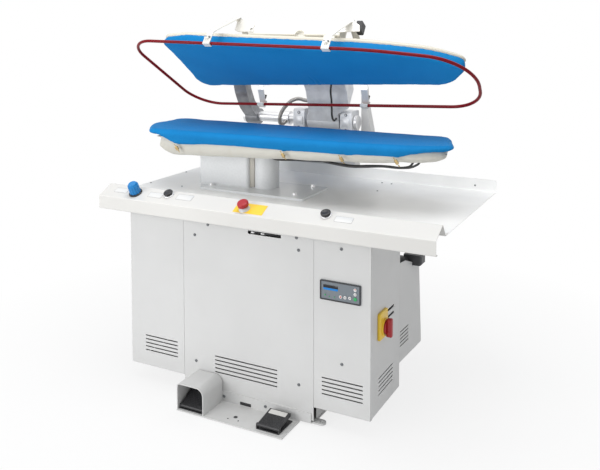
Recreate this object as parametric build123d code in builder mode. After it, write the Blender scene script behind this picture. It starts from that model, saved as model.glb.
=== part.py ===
from build123d import *
import os
from math import atan2, cos, hypot, radians, sin

os.makedirs("parts", exist_ok=True)

# Steam utility press for laundries, in millimetres.
# X runs along the table, -Y faces the operator, Z is up, and the floor is z = 0.
# The press is drawn open, with its head tilted up.

# Table and control console
table_left = -639
table_length = 1300
table_right = table_left + table_length
table_front = -366
table_rear = 300
table_height = 716
upstand_height = 46
sheet = 2
bend_radius = 3
fascia_front = -463
fascia_bottom = 675
slope_foot_height = 724
ridge_front = -396
ridge_height = 758
console_flange = 26
fascia_lip = 16

# Cabinet
front_face = -370
centre_left = -324
centre_right = 210
left_box_left = -568
right_box_right = 416
side_box_rear = -96
left_box_rear = 94
side_box_bottom = 64
foot_height = 6
base_thickness = 6
base_rear = 500
base_top = foot_height + base_thickness
wall = 2
tray_depth = 18
panel_top = table_height - sheet
panel_joint = 1
floor_gap = 3

# Anchor lugs and feet of the base plate
anchor_reach = 21
anchor_front = -352
anchor_rear = 272
anchor_hole_radius = 6
lug_radius = 16
foot_radius = 28
foot_inset = 44
stud_radius = 5
stud_clearance = 0.2

# Head pivot and the open angle that is drawn
pivot_y = 308
pivot_z = 948
open_angle = 34
cos_open = cos(radians(open_angle))
sin_open = sin(radians(open_angle))
shaft_radius = 22
running_fit = 0.05
shaft_left = -462
shaft_right = 82
block_centres = (-177, 42)
block_width = 52
block_depth = 80
block_height = 92
block_base = 905
face_height = 10
press_gap = 0.8

# Plan of both pads, seen from above with the head closed
pad_corners = [(-568, -288), (304, -252), (531, -212), (645, -144), (558, -19), (-578, 78)]
pad_radii = [22, 1500, 360, 30, 140, 66]

# Buck and its pedestal
buck_top = pivot_z + face_height - press_gap
buck_cover_depth = 50
buck_tilt = 0.026
buck_bottom_tilt = 0.037
block_left = -432
block_right = -204
block_front = -110
block_rear = 10
block_corner = 14
pipe_x = -155
pipe_y = -50
pipe_radius = 50
web_depth = 84
pedestal_wall = 4
pedestal_plate = 8
pedestal_plate_left = -390
pedestal_plate_right = 66
pedestal_plate_front = -173
pedestal_plate_rear = 50
pedestal_bolt_radius = 7

# Head
cover_height = 45
casting_height = 98
crossbar_left = -236
crossbar_right = 156
crossbar_front = -199
crossbar_rear = -145
crossbar_bottom = 109
crossbar_top = 164

# Safety ring, with its rod centre below the pivot height
ring_height = -20
ring_radius = 6
ring_corners = [(-687, -346), (330, -311), (694, -253), (655, 69), (-631, 177)]
ring_radii = [105, 1400, 175, 150, 130]
strap_width = 28
strap_thickness = 3
strap_centres = (-302, 183)
ring_slide = 12
slide_gap = 0.5

# Pressing cylinder
crank_radius = 90
crank_angle = -30
crank_pin_radius = 9
open_pivot_clearance = 3.4
cylinder_x = -63
cylinder_foot_y = 436
cylinder_foot_z = 480
barrel_radius = 46
rod_radius = 10
press_stroke = 50
column_front = table_rear
column_rear = 356
column_left = -205
column_right = 70

# Controls on the slope of the console
button_travel = 3
estop_travel = 4
knob_x = -493
left_button_x = -351
estop_x = -20
right_button_x = 278
control_gap = 0.3

# Pedals
pedal_front = -500
pedal_plate_left = -266
pedal_plate_right = 157
pedal_plate_bottom = 2
pedal_plate_thickness = 4
hood_left = -268
hood_right = -155
hood_top = 100
hood_sheet = 3
treadle_angle = 8
right_switch_left = 50
right_switch_right = 138
right_switch_front = -486
right_switch_rear = -388

soft_gap = 0.3


def level(z):
    """Horizontal sketch plane at a height above the floor."""
    return Plane.XY.offset(z)


def facing_front(y):
    """Sketch plane that faces the operator, with X to the right and Z up."""
    return Plane.XZ.offset(-y)


def across(x):
    """Sketch plane that cuts the press from front to back, with Y across and Z up."""
    return Plane.YZ.offset(x)


def head_level(height):
    """Plan plane of the tilted head, at a height above the pivot when closed."""
    pivot = Plane(origin=(0, pivot_y, pivot_z), x_dir=(1, 0, 0), z_dir=(0, sin_open, cos_open))
    return pivot.offset(height)


def head_across(x):
    """Side plane of the tilted head: closed depth behind the pivot, closed height above it."""
    return Plane(origin=(x, pivot_y, pivot_z), x_dir=(0, cos_open, -sin_open), z_dir=(1, 0, 0))


def head_front(depth):
    """Plane of the tilted head that faces the operator, at a closed depth behind the pivot."""
    origin = (0, pivot_y + depth * cos_open, pivot_z - depth * sin_open)
    return Plane(origin=origin, x_dir=(1, 0, 0), z_dir=(0, -cos_open, sin_open))


def drawn_in(corners, distance, closed=True):
    """Corners of an outline moved to the left of its direction by a distance."""
    points = [Vector(*corner) for corner in corners]
    count = len(points)
    moved = []
    for index, point in enumerate(points):
        before = points[index - 1]
        after = points[(index + 1) % count]
        arriving = (point - before).normalized()
        leaving = (after - point).normalized()
        if not closed and index == 0:
            arriving = leaving
        if not closed and index == count - 1:
            leaving = arriving
        sideways = Vector(-arriving.Y - leaving.Y, arriving.X + leaving.X)
        shift = sideways * (distance / (1 + arriving.dot(leaving)))
        moved.append((point.X + shift.X, point.Y + shift.Y))
    return moved


def from_pivot(corners):
    """Closed plan points, given from the machine's origin, measured from the pivot."""
    return [(x, y - pivot_y) for x, y in corners]


def pad_line(inset, plan=lambda corners: corners, shrink=1):
    """Outline of a pad, drawn in by an inset with its corners kept round."""
    radii = [max(radius - inset, 6) * shrink for radius in pad_radii]
    return FilletPolyline(*plan(drawn_in(pad_corners, inset)), radius=radii, close=True)


def pedestal_plan(margin):
    """Plan of the pedestal: a cast block and a round pipe, joined by a narrower web."""
    with Locations(((block_left + block_right) / 2, (block_front + block_rear) / 2)):
        RectangleRounded(
            block_right - block_left + 2 * margin,
            block_rear - block_front + 2 * margin,
            block_corner + margin,
        )
    with Locations(((block_right + pipe_x) / 2 - block_corner, pipe_y)):
        Rectangle(pipe_x - block_right + 2 * block_corner, web_depth + 2 * margin)
    with Locations((pipe_x, pipe_y)):
        Circle(pipe_radius + margin)


# Base plate with four anchor lugs and holes for the levelling feet
anchor_left_x = centre_left - anchor_reach
anchor_right_x = centre_right + anchor_reach
anchors = [
    (x, y) for x in (anchor_left_x, anchor_right_x) for y in (anchor_front, anchor_rear)
]
base_front = front_face + wall
feet = [
    (x, y)
    for x in (centre_left + foot_inset, centre_right - foot_inset)
    for y in (base_front + foot_inset, base_rear - foot_inset)
]
with BuildPart() as base_plate:
    with BuildSketch(level(foot_height)):
        with Locations(((centre_left + centre_right) / 2, (base_front + base_rear) / 2)):
            Rectangle(centre_right - centre_left, base_rear - base_front)
        for lug_x, lug_y in anchors:
            inward = 1 if lug_x < 0 else -1
            with Locations((lug_x, lug_y)):
                Circle(lug_radius)
            with Locations((lug_x + inward * anchor_reach / 2, lug_y)):
                Rectangle(anchor_reach, 2 * lug_radius)
        with Locations(*anchors):
            Circle(anchor_hole_radius, mode=Mode.SUBTRACT)
        with Locations(*feet):
            Circle(stud_radius + stud_clearance, mode=Mode.SUBTRACT)
    extrude(amount=base_thickness)
base_plate.part.label = "base_plate"
export_step(base_plate.part, "parts/base_plate.step")

# Levelling feet: round pads under the plate, with studs and nuts through it
stud_height = 22
nut_across = 17
nut_height = 8
with BuildPart() as levelling_feet:
    with Locations(*[(x, y, 0) for x, y in feet]):
        Cylinder(foot_radius, foot_height, align=(Align.CENTER, Align.CENTER, Align.MIN))
        Cylinder(
            stud_radius, foot_height + stud_height, align=(Align.CENTER, Align.CENTER, Align.MIN)
        )
    with BuildSketch(level(base_top)):
        with Locations(*feet):
            RegularPolygon(nut_across / 2, 6, major_radius=False)
    extrude(amount=nut_height)
levelling_feet.part.label = "levelling_feet"
export_step(levelling_feet.part, "parts/levelling_feet.step")

# Inner walls that carry the table and the boxes on each side
wall_foot = 16
wall_front = front_face + tray_depth + 4
duct_radius = 34
duct_height = 430
fan_y = 25
duct_clearance = 0.5
with BuildPart() as chassis_walls:
    for outer_x, inward in ((centre_left, 1), (centre_right, -1)):
        middle = outer_x + inward * wall / 2
        with BuildSketch(facing_front(wall_front)):
            with BuildLine():
                FilletPolyline(
                    (middle + inward * wall_foot, base_top + wall / 2),
                    (middle, base_top + wall / 2),
                    (middle, panel_top),
                    radius=bend_radius,
                )
            trace(line_width=wall)
        extrude(amount=-(table_rear - wall - wall_front))
    with BuildSketch(across(centre_right)):
        with Locations((fan_y, duct_height)):
            Circle(duct_radius + duct_clearance)
    extrude(amount=-wall, mode=Mode.SUBTRACT)
chassis_walls.part.label = "chassis_walls"
export_step(chassis_walls.part, "parts/chassis_walls.step")

# Rear panel with ventilation slots on both sides of the column
rear_slot_pitch = 16
rear_slot_height = 6
rear_slot_z = 560
with BuildPart() as rear_panel:
    with BuildSketch(facing_front(table_rear - wall)):
        with Locations(((centre_left + centre_right) / 2, (base_top + panel_top) / 2)):
            Rectangle(centre_right - centre_left, panel_top - base_top)
        for edge, column_side in ((centre_left, column_left), (centre_right, column_right)):
            slot_length = abs(edge - column_side) - 30
            with Locations(((edge + column_side) / 2, rear_slot_z)):
                with GridLocations(0, rear_slot_pitch, 1, 8):
                    SlotOverall(slot_length, rear_slot_height, mode=Mode.SUBTRACT)
    extrude(amount=-wall)
rear_panel.part.label = "rear_panel"
export_step(rear_panel.part, "parts/rear_panel.step")


def tray(left, bottom):
    """Section of a front panel folded back at its top and bottom edges."""
    front = front_face + wall / 2
    back = front_face + tray_depth
    with BuildSketch(across(left)) as section:
        with BuildLine():
            FilletPolyline(
                (back, bottom + wall / 2),
                (front, bottom + wall / 2),
                (front, panel_top - wall / 2),
                (back, panel_top - wall / 2),
                radius=bend_radius,
            )
        trace(line_width=wall)
    return section.sketch


louvre_height = 4.5
louvre_rows = 5


def louvres(left, right, bottom, top):
    """Rows of slots for a front panel."""
    with BuildSketch(facing_front(front_face)) as rows:
        with Locations(((left + right) / 2, (bottom + top) / 2)):
            with GridLocations(0, (top - bottom) / (louvre_rows - 1), 1, louvre_rows):
                SlotOverall(right - left, louvre_height)
    return rows.sketch


# Front panels: the centre one reaches the base, those beside it end higher
centre_panel_bottom = base_top + floor_gap
fittings_slot_left = -48
fittings_slot_right = 84
fittings_slot_bottom = 631
fittings_slot_top = 643
with BuildPart() as front_centre_panel:
    section = tray(centre_left + panel_joint, centre_panel_bottom)
    extrude(section, amount=centre_right - centre_left - 2 * panel_joint)
    extrude(louvres(-189, 69, 105, 163), amount=-wall, mode=Mode.SUBTRACT)
    with BuildSketch(facing_front(front_face)):
        slot_x = (fittings_slot_left + fittings_slot_right) / 2
        slot_z = (fittings_slot_bottom + fittings_slot_top) / 2
        with Locations((slot_x, slot_z)):
            RectangleRounded(
                fittings_slot_right - fittings_slot_left,
                fittings_slot_top - fittings_slot_bottom,
                4,
            )
    extrude(amount=-wall, mode=Mode.SUBTRACT)
front_centre_panel.part.label = "front_centre_panel"
export_step(front_centre_panel.part, "parts/front_centre_panel.step")

with BuildPart() as front_left_panel:
    extrude(tray(left_box_left, side_box_bottom), amount=centre_left - left_box_left)
    extrude(louvres(-503, -354, 125, 181), amount=-wall, mode=Mode.SUBTRACT)
front_left_panel.part.label = "front_left_panel"
export_step(front_left_panel.part, "parts/front_left_panel.step")

# Display position, shared by the panel and the display housing
display_left = 235
display_right = 382
display_bottom = 448
display_top = 515
display_x = (display_left + display_right) / 2
display_z = (display_bottom + display_top) / 2
display_width = display_right - display_left
display_height = display_top - display_bottom
display_proud = 4
display_box_border = 9
display_box_depth = 30
display_clearance = 0.5
with BuildPart() as front_right_panel:
    extrude(tray(centre_right, side_box_bottom), amount=right_box_right - centre_right)
    extrude(louvres(240, 390, 121, 177), amount=-wall, mode=Mode.SUBTRACT)
    with BuildSketch(facing_front(front_face)):
        with Locations((display_x, display_z)):
            Rectangle(
                display_width - 2 * (display_box_border - display_clearance),
                display_height - 2 * (display_box_border - display_clearance),
            )
    extrude(amount=-wall, mode=Mode.SUBTRACT)
front_right_panel.part.label = "front_right_panel"
export_step(front_right_panel.part, "parts/front_right_panel.step")

# Side panels of the boxes
side_panel_front = front_face + wall + panel_joint
side_panel_height = panel_top - side_box_bottom - 2 * (wall + panel_joint)
with BuildPart() as left_side_panel:
    with BuildSketch(across(left_box_left)):
        with Locations(
            ((side_panel_front + left_box_rear) / 2, (side_box_bottom + panel_top) / 2)
        ):
            Rectangle(left_box_rear - side_panel_front, side_panel_height)
    extrude(amount=wall)
left_side_panel.part.label = "left_side_panel"
export_step(left_side_panel.part, "parts/left_side_panel.step")

side_slot_height = 4.5
key_slot_centre_y = -186
key_slot_length = 65
key_slot_height = 9
with BuildPart() as right_side_panel:
    with BuildSketch(across(right_box_right)):
        with Locations(
            ((side_panel_front + side_box_rear) / 2, (side_box_bottom + panel_top) / 2)
        ):
            Rectangle(side_box_rear - side_panel_front, side_panel_height)
        with Locations((-230, 150)):
            with GridLocations(0, 14, 1, 5):
                SlotOverall(134, side_slot_height, mode=Mode.SUBTRACT)
        with Locations((key_slot_centre_y, 384), (key_slot_centre_y, 361)):
            SlotOverall(key_slot_length, key_slot_height, mode=Mode.SUBTRACT)
    extrude(amount=-wall)
right_side_panel.part.label = "right_side_panel"
export_step(right_side_panel.part, "parts/right_side_panel.step")

# Floor and rear wall of each side box, one folded sheet a side
with BuildPart() as side_box_liners:
    for left, right, rear in (
        (left_box_left + wall, centre_left, left_box_rear),
        (centre_right, right_box_right - wall, side_box_rear),
    ):
        with BuildSketch(across(left)):
            with BuildLine():
                FilletPolyline(
                    (wall_front, side_box_bottom + wall / 2),
                    (rear - wall / 2, side_box_bottom + wall / 2),
                    (rear - wall / 2, panel_top),
                    radius=bend_radius,
                )
            trace(line_width=wall)
        extrude(amount=right - left)
side_box_liners.part.label = "side_box_liners"
export_step(side_box_liners.part, "parts/side_box_liners.step")

# Guard behind the right box, flared a little towards the rear, with a sloping top
guard_flange = 20
guard_rear = 121
guard_flare = 8
guard_bottom = 152
guard_top = 515
guard_back_top = 452
terminal_y = 52
terminal_width = 52
terminal_bottom = 474
terminal_height = 38
guard_notch_gap = 3
with BuildPart() as right_rear_guard:
    with BuildSketch(level(guard_bottom)):
        with BuildLine():
            FilletPolyline(
                (right_box_right - wall / 2 - guard_flange, side_box_rear + wall / 2),
                (right_box_right - wall / 2, side_box_rear + wall / 2),
                (right_box_right - wall / 2 + guard_flare, guard_rear),
                radius=bend_radius,
            )
        trace(line_width=wall)
    extrude(amount=guard_top - guard_bottom)
    with BuildSketch(across(right_box_right - guard_flange - 2 * wall)):
        with BuildLine():
            Polyline(
                (side_box_rear - wall, guard_bottom),
                (guard_rear + wall, guard_bottom),
                (guard_rear - 26, guard_back_top + 8),
                (-40, guard_top - 5),
                (side_box_rear - wall, guard_top),
                close=True,
            )
        make_face()
        with Locations((-50, 236)):
            with GridLocations(0, 13, 1, 5):
                SlotOverall(82, side_slot_height, mode=Mode.SUBTRACT)
        with Locations((terminal_y, terminal_bottom - guard_notch_gap)):
            Rectangle(
                terminal_width + 2 * guard_notch_gap,
                2 * terminal_height,
                align=(Align.CENTER, Align.MIN),
                mode=Mode.SUBTRACT,
            )
    extrude(amount=guard_flange + guard_flare + 4 * wall, mode=Mode.INTERSECT)
right_rear_guard.part.label = "right_rear_guard"
export_step(right_rear_guard.part, "parts/right_rear_guard.step")

# Table with its folded rear upstand, open under the pedestal for the air duct
with BuildPart() as table_top:
    with BuildSketch(across(table_left)):
        with BuildLine():
            FilletPolyline(
                (table_front, table_height - sheet / 2),
                (table_rear - sheet / 2, table_height - sheet / 2),
                (table_rear - sheet / 2, table_height + upstand_height),
                radius=bend_radius,
            )
        trace(line_width=sheet)
    extrude(amount=table_length)
    with Locations((pipe_x, pipe_y, table_height)):
        Hole(duct_radius - wall)
table_top.part.label = "table_top"
export_step(table_top.part, "parts/table_top.step")

# Control console, folded from one sheet and open at both ends
console_outside = [
    (fascia_front, fascia_bottom),
    (fascia_front, slope_foot_height),
    (ridge_front, ridge_height),
    (table_front, table_height),
]
console_middle = drawn_in(console_outside[::-1], sheet / 2, closed=False)[::-1]
with BuildPart() as control_console:
    with BuildSketch(across(table_left)):
        with BuildLine():
            FilletPolyline(
                (fascia_front + fascia_lip, fascia_bottom + sheet / 2),
                (console_middle[0][0], fascia_bottom + sheet / 2),
                console_middle[1],
                console_middle[2],
                (table_front, table_height + sheet / 2),
                (table_front + console_flange, table_height + sheet / 2),
                radius=bend_radius,
            )
        trace(line_width=sheet)
    extrude(amount=table_length)
control_console.part.label = "control_console"
export_step(control_console.part, "parts/control_console.step")

# Gussets that carry the console from the front panels
gusset_thickness = 3
gusset_gap = 0.6
back_line = front_face + sheet + gusset_gap
ridge_fall = (ridge_height - table_height) / (table_front - ridge_front)
gusset_outside = [
    (back_line, fascia_bottom + gusset_gap),
    (back_line, ridge_height - ridge_fall * (back_line - ridge_front)),
    (ridge_front, ridge_height),
    (fascia_front, slope_foot_height),
    (fascia_front, fascia_bottom + gusset_gap),
]
with BuildPart() as console_brackets:
    for gusset_x in (-540, -120, 120, 395):
        with BuildSketch(across(gusset_x)):
            with BuildLine():
                Polyline(*drawn_in(gusset_outside, sheet + gusset_gap), close=True)
            make_face()
        extrude(amount=gusset_thickness)
console_brackets.part.label = "console_brackets"
export_step(console_brackets.part, "parts/console_brackets.step")

# Rear column: a welded box on a foot plate, a shelf for the bearings and the cylinder's cheeks
column_wall = 6
shelf_thickness = 16
shelf_front = pivot_y - block_depth / 2 - 6
shelf_rear = pivot_y + block_depth / 2
shelf_bottom = block_base - shelf_thickness
shelf_left = block_centres[0] - block_width / 2 - 8
shelf_right = block_centres[1] + block_width / 2 + 8
column_x = (column_left + column_right) / 2
column_y = (column_front + column_rear) / 2
column_width = column_right - column_left
column_depth = column_rear - column_front
foot_plate_thickness = 10
foot_plate_rear = 470
rear_gusset_height = 260
rear_gusset_thickness = 8
cheek_thickness = 10
eye_width = 24
eye_radius = 18
eye_gap = 0.5
foot_pin_radius = 8
cheek_radius = 24
with BuildPart() as rear_column:
    with BuildSketch(level(base_top)):
        with Locations((column_x, column_y)):
            Rectangle(column_width, column_depth)
            Rectangle(
                column_width - 2 * column_wall, column_depth - 2 * column_wall, mode=Mode.SUBTRACT
            )
    extrude(amount=shelf_bottom - base_top)
    with BuildSketch(level(base_top)):
        with Locations((column_x, (column_front + foot_plate_rear) / 2)):
            Rectangle(column_width + 70, foot_plate_rear - column_front)
    extrude(amount=foot_plate_thickness)
    with BuildSketch(level(shelf_bottom)):
        with Locations(((shelf_left + shelf_right) / 2, (shelf_front + shelf_rear) / 2)):
            Rectangle(shelf_right - shelf_left, shelf_rear - shelf_front)
        with Locations((column_x, column_y)):
            Rectangle(column_width, column_depth)
    extrude(amount=shelf_thickness)
    for gusset_x in (column_left + 2, column_right - 2 - rear_gusset_thickness):
        with BuildSketch(across(gusset_x)):
            with BuildLine():
                Polyline(
                    (column_rear, base_top),
                    (foot_plate_rear, base_top),
                    (foot_plate_rear, base_top + 40),
                    (column_rear, base_top + rear_gusset_height),
                    close=True,
                )
            make_face()
            with BuildLine():
                Polyline(
                    (column_front, shelf_bottom),
                    (shelf_front + 4, shelf_bottom),
                    (column_front, shelf_bottom - 70),
                    close=True,
                )
            make_face()
        extrude(amount=rear_gusset_thickness)
    cheek_inside = eye_width / 2 + eye_gap
    for cheek_x in (cylinder_x - cheek_inside - cheek_thickness, cylinder_x + cheek_inside):
        with BuildSketch(across(cheek_x)):
            with Locations((cylinder_foot_y, cylinder_foot_z)):
                Circle(cheek_radius)
            with BuildLine():
                Polyline(
                    (column_rear, cylinder_foot_z - 50),
                    (cylinder_foot_y, cylinder_foot_z - cheek_radius),
                    (cylinder_foot_y, cylinder_foot_z + cheek_radius),
                    (column_rear, cylinder_foot_z + cheek_radius - 6),
                    close=True,
                )
            make_face()
        extrude(amount=cheek_thickness)
    with BuildSketch(across(cylinder_x - cheek_inside - cheek_thickness)):
        with Locations((cylinder_foot_y, cylinder_foot_z)):
            Circle(foot_pin_radius)
    extrude(amount=2 * (cheek_inside + cheek_thickness))
rear_column.part.label = "rear_column"
export_step(rear_column.part, "parts/rear_column.step")

# Mast beside the column that leads the hoses up: a tapered front with two returns
mast_left = 78
mast_front = shelf_rear + 1
mast_return = 42
mast_top = 1092
mast_bottom = 780
with BuildPart() as rear_mast:
    with BuildSketch(facing_front(mast_front)):
        with BuildLine():
            Polyline(
                (column_right, mast_bottom),
                (mast_left + 54, mast_bottom),
                (mast_left + 44, 912),
                (mast_left + 20, 1030),
                (mast_left + 14, mast_top),
                (mast_left, mast_top),
                (mast_left, block_base + 6),
                (column_right, block_base - 30),
                close=True,
            )
        make_face()
    extrude(amount=-mast_return)
    with BuildSketch(facing_front(mast_front + wall)):
        with BuildLine():
            Polyline(
                (column_right + wall, mast_bottom),
                (mast_left + 54 - wall, mast_bottom),
                (mast_left + 44 - wall, 912),
                (mast_left + 20 - wall, 1030),
                (mast_left + 14 - wall, mast_top - wall),
                (mast_left + wall, mast_top - wall),
                (mast_left + wall, block_base + 6),
                (column_right + wall, block_base - 30),
                close=True,
            )
        make_face()
    extrude(amount=-mast_return, mode=Mode.SUBTRACT)
rear_mast.part.label = "rear_mast"
export_step(rear_mast.part, "parts/rear_mast.step")

# Bearing blocks with their bore, cap bolt and square plug on the front
plug_width = 40
plug_height = 26
plug_z = 948
plug_groove = 3
plug_depth = 2
cap_bolt_radius = 6
cap_bolt_z = 981
block_round = 12
with BuildPart() as bearing_blocks:
    for centre in block_centres:
        with BuildSketch(across(centre - block_width / 2)):
            with Locations((pivot_y, block_base)):
                Rectangle(block_depth, block_height, align=(Align.CENTER, Align.MIN))
        extrude(amount=block_width)
    top_edges = bearing_blocks.part.edges().filter_by(Axis.X).group_by(Axis.Z)[-1]
    fillet(top_edges, block_round)
    for centre in block_centres:
        with BuildSketch(across(centre - block_width / 2)):
            with Locations((pivot_y, pivot_z)):
                Circle(shaft_radius + running_fit)
        extrude(amount=block_width, mode=Mode.SUBTRACT)
        with BuildSketch(facing_front(pivot_y - block_depth / 2)):
            with Locations((centre, plug_z)):
                RectangleRounded(plug_width, plug_height, 6)
                RectangleRounded(
                    plug_width - 2 * plug_groove,
                    plug_height - 2 * plug_groove,
                    4,
                    mode=Mode.SUBTRACT,
                )
        extrude(amount=-plug_depth, mode=Mode.SUBTRACT)
        with BuildSketch(facing_front(pivot_y - block_depth / 2)):
            with Locations((centre, cap_bolt_z)):
                Circle(cap_bolt_radius)
        extrude(amount=4)
bearing_blocks.part.label = "bearing_blocks"
export_step(bearing_blocks.part, "parts/bearing_blocks.step")

# Pedestal: bolted plate and hollow oval column that also ducts the air
pedestal_top = 886
block_foot = 5
plate_top = table_height + pedestal_plate
plate_x = (pedestal_plate_left + pedestal_plate_right) / 2
plate_y = (pedestal_plate_front + pedestal_plate_rear) / 2
with BuildPart() as pedestal:
    with BuildSketch(level(table_height)):
        with Locations((plate_x, plate_y)):
            RectangleRounded(
                pedestal_plate_right - pedestal_plate_left,
                pedestal_plate_rear - pedestal_plate_front,
                10,
            )
    extrude(amount=pedestal_plate)
    with BuildSketch(level(table_height)):
        pedestal_plan(0)
    extrude(amount=pedestal_top - table_height)
    with BuildSketch(level(plate_top)):
        with Locations(((block_left + block_right) / 2, (block_front + block_rear) / 2)):
            RectangleRounded(
                block_right - block_left + 2 * block_foot,
                block_rear - block_front + 2 * block_foot,
                block_corner,
            )
    extrude(amount=block_foot, taper=35)
    with BuildSketch(level(table_height)):
        pedestal_plan(-pedestal_wall)
    extrude(amount=pedestal_top - pedestal_wall - table_height, mode=Mode.SUBTRACT)
pedestal.part.label = "pedestal"
export_step(pedestal.part, "parts/pedestal.step")

# Bolts and washers of the pedestal plate
washer_radius = 11
washer_height = 2.5
bolt_height = 7
pedestal_bolt_spots = [
    (pedestal_plate_left + 30, pedestal_plate_front + 44),
    (pedestal_plate_right - 55, pedestal_plate_front + 44),
    (pedestal_plate_right - 58, pedestal_plate_rear - 18),
]
with BuildPart() as pedestal_bolts:
    with BuildSketch(level(plate_top)):
        with Locations(*pedestal_bolt_spots):
            Circle(washer_radius)
    extrude(amount=washer_height)
    with BuildSketch(level(plate_top + washer_height)):
        with Locations(*pedestal_bolt_spots):
            RegularPolygon(pedestal_bolt_radius, 6, major_radius=False)
    extrude(amount=bolt_height)
pedestal_bolts.part.label = "pedestal_bolts"
export_step(pedestal_bolts.part, "parts/pedestal_bolts.step")

# Buck: cast core, cream undercloth around it and the blue cover pulled over both
buck_floor_z = 869
buck_floor_x = -430
buck_floor_plane = Plane(
    origin=(buck_floor_x, 0, buck_floor_z), x_dir=(1, 0, buck_bottom_tilt), z_dir=(-buck_bottom_tilt, 0, 1)
)
rim_plane = Plane(
    origin=(0, 0, buck_top - buck_cover_depth), x_dir=(1, 0, buck_tilt), z_dir=(-buck_tilt, 0, 1)
)
cover_thickness = 20
rim_thickness = 11
buck_shrink = 0.8
buck_shift = 29


def buck_floor_plan(corners):
    """Underside of the buck: shorter than its top at both ends."""
    return [(x * buck_shrink + buck_shift - buck_floor_x, y) for x, y in corners]


with BuildPart() as buck_cover:
    for drop, inset in ((0, 44), (0.8, 30), (3, 14), (8, 5), (18, 0), (32, 0.5)):
        with BuildSketch(level(buck_top - drop)):
            with BuildLine():
                pad_line(inset)
            make_face()
    with BuildSketch(rim_plane):
        with BuildLine():
            pad_line(5)
        make_face()
    loft(ruled=True)
    with BuildSketch(level(buck_top - cover_thickness)):
        with BuildLine():
            pad_line(rim_thickness)
        make_face()
    extrude(amount=-3 * buck_cover_depth, mode=Mode.SUBTRACT)
buck_cover.part.label = "buck_cover"
export_step(buck_cover.part, "parts/buck_cover.step")

core_floor_plane = buck_floor_plane.offset(14)
core_top = buck_top - cover_thickness - 12
core_inset = 34
with BuildPart() as buck_core_space:
    with BuildSketch(core_floor_plane):
        with BuildLine():
            pad_line(core_inset + 8, buck_floor_plan, buck_shrink)
        make_face()
    with BuildSketch(level(core_top)):
        with BuildLine():
            pad_line(core_inset)
        make_face()
    loft(ruled=True)

core_foot_inset = 6
with BuildPart() as buck_core:
    add(buck_core_space.part)
    with BuildSketch(level(pedestal_top)):
        pedestal_plan(2)
    extrude(amount=-40, mode=Mode.SUBTRACT)
    with BuildSketch(level(pedestal_top)):
        pedestal_plan(-core_foot_inset)
    extrude(amount=core_top - pedestal_top - 2)
buck_core.part.label = "buck_core"
export_step(buck_core.part, "parts/buck_core.step")

with BuildPart() as buck_padding:
    with BuildSketch(buck_floor_plane):
        with BuildLine():
            pad_line(26, buck_floor_plan, buck_shrink)
        make_face()
    with BuildSketch(rim_plane):
        with BuildLine():
            pad_line(rim_thickness + soft_gap)
        make_face()
    with BuildSketch(level(buck_top - cover_thickness - soft_gap)):
        with BuildLine():
            pad_line(rim_thickness + soft_gap)
        make_face()
    loft(ruled=True)
    add(buck_core_space.part, mode=Mode.SUBTRACT)
    with BuildSketch(level(pedestal_top + soft_gap)):
        pedestal_plan(soft_gap)
    extrude(amount=-40, mode=Mode.SUBTRACT)
    with BuildSketch(level(pedestal_top)):
        pedestal_plan(soft_gap - core_foot_inset)
    extrude(amount=core_top - pedestal_top, mode=Mode.SUBTRACT)
buck_padding.part.label = "buck_padding"
export_step(buck_padding.part, "parts/buck_padding.step")

# Steam and air lines under the right half of the buck
line_radius = 4
underside = buck_floor_z + buck_bottom_tilt * (488 - buck_floor_x)
rear_underside = buck_floor_z + buck_bottom_tilt * (452 - buck_floor_x)
pipe_side = pipe_radius + 0.3
front_route = [
    (pipe_x + 0.8 * pipe_side, pipe_y - 0.6 * pipe_side, 846),
    (-82, -104, 846),
    (-28, -98, 848),
    (30, -99, 854),
    (104, -103, 858),
    (164, -106, 851),
    (226, -106, 846),
    (288, -103, 851),
    (348, -99, 858),
    (406, -97, 856),
    (456, -98, 862),
    (486, -99, 880),
    (488, -100, underside - 1.5),
]
rear_route = [
    (pipe_x + pipe_side, pipe_y, 838),
    (-64, pipe_y, 839),
    (-12, -56, 842),
    (44, -62, 846),
    (106, -66, 849),
    (168, -69, 845),
    (230, -72, 843),
    (290, -70, 850),
    (350, -66, 853),
    (404, -63, 850),
    (440, -62, 858),
    (452, -62, 878),
    (452.6, -62.3, rear_underside - 1.5),
]


def bend_radii(route):
    """As large an arc at each point of a route as its two runs allow."""
    points = [Vector(*spot) for spot in route]
    radii = []
    for before, here, after in zip(points, points[1:], points[2:]):
        shorter = min((here - before).length, (after - here).length)
        turn = radians((here - before).get_angle(after - here))
        radii.append(min(0.45 * shorter / tan_half(turn), 2000))
    return radii


def tan_half(turn):
    """Tangent of half a turn."""
    return sin(turn / 2) / cos(turn / 2)


def tube(route, radius):
    """Round tube swept along a route with its bends as arcs."""
    radii = bend_radii(route)
    with BuildLine() as path:
        FilletPolyline(*route, radius=radii)
    with BuildSketch(Plane(origin=path.line @ 0, z_dir=path.line % 0)) as section:
        Circle(radius)
    sweep(section.sketch, path=path.line)
    print("bend radii", [round(value) for value in radii])


with BuildPart() as buck_lines:
    tube(front_route, line_radius)
    tube(rear_route, line_radius)
buck_lines.part.label = "buck_lines"
export_step(buck_lines.part, "parts/buck_lines.step")

# Short springs that hold the cover's hem under the buck, as closed bodies
spring_radius = 3
spring_length = 15
spring_inset = 7.8
spring_places = [-402, 52, 282, 470, 588]


def front_edge(x):
    """Depth of the pads' front outline at x, and its slope there."""
    for first, second in zip(pad_corners[:3], pad_corners[1:4]):
        if x <= second[0]:
            slope = (second[1] - first[1]) / (second[0] - first[0])
            return first[1] + slope * (x - first[0]), slope
    return pad_corners[3][1], 0


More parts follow.
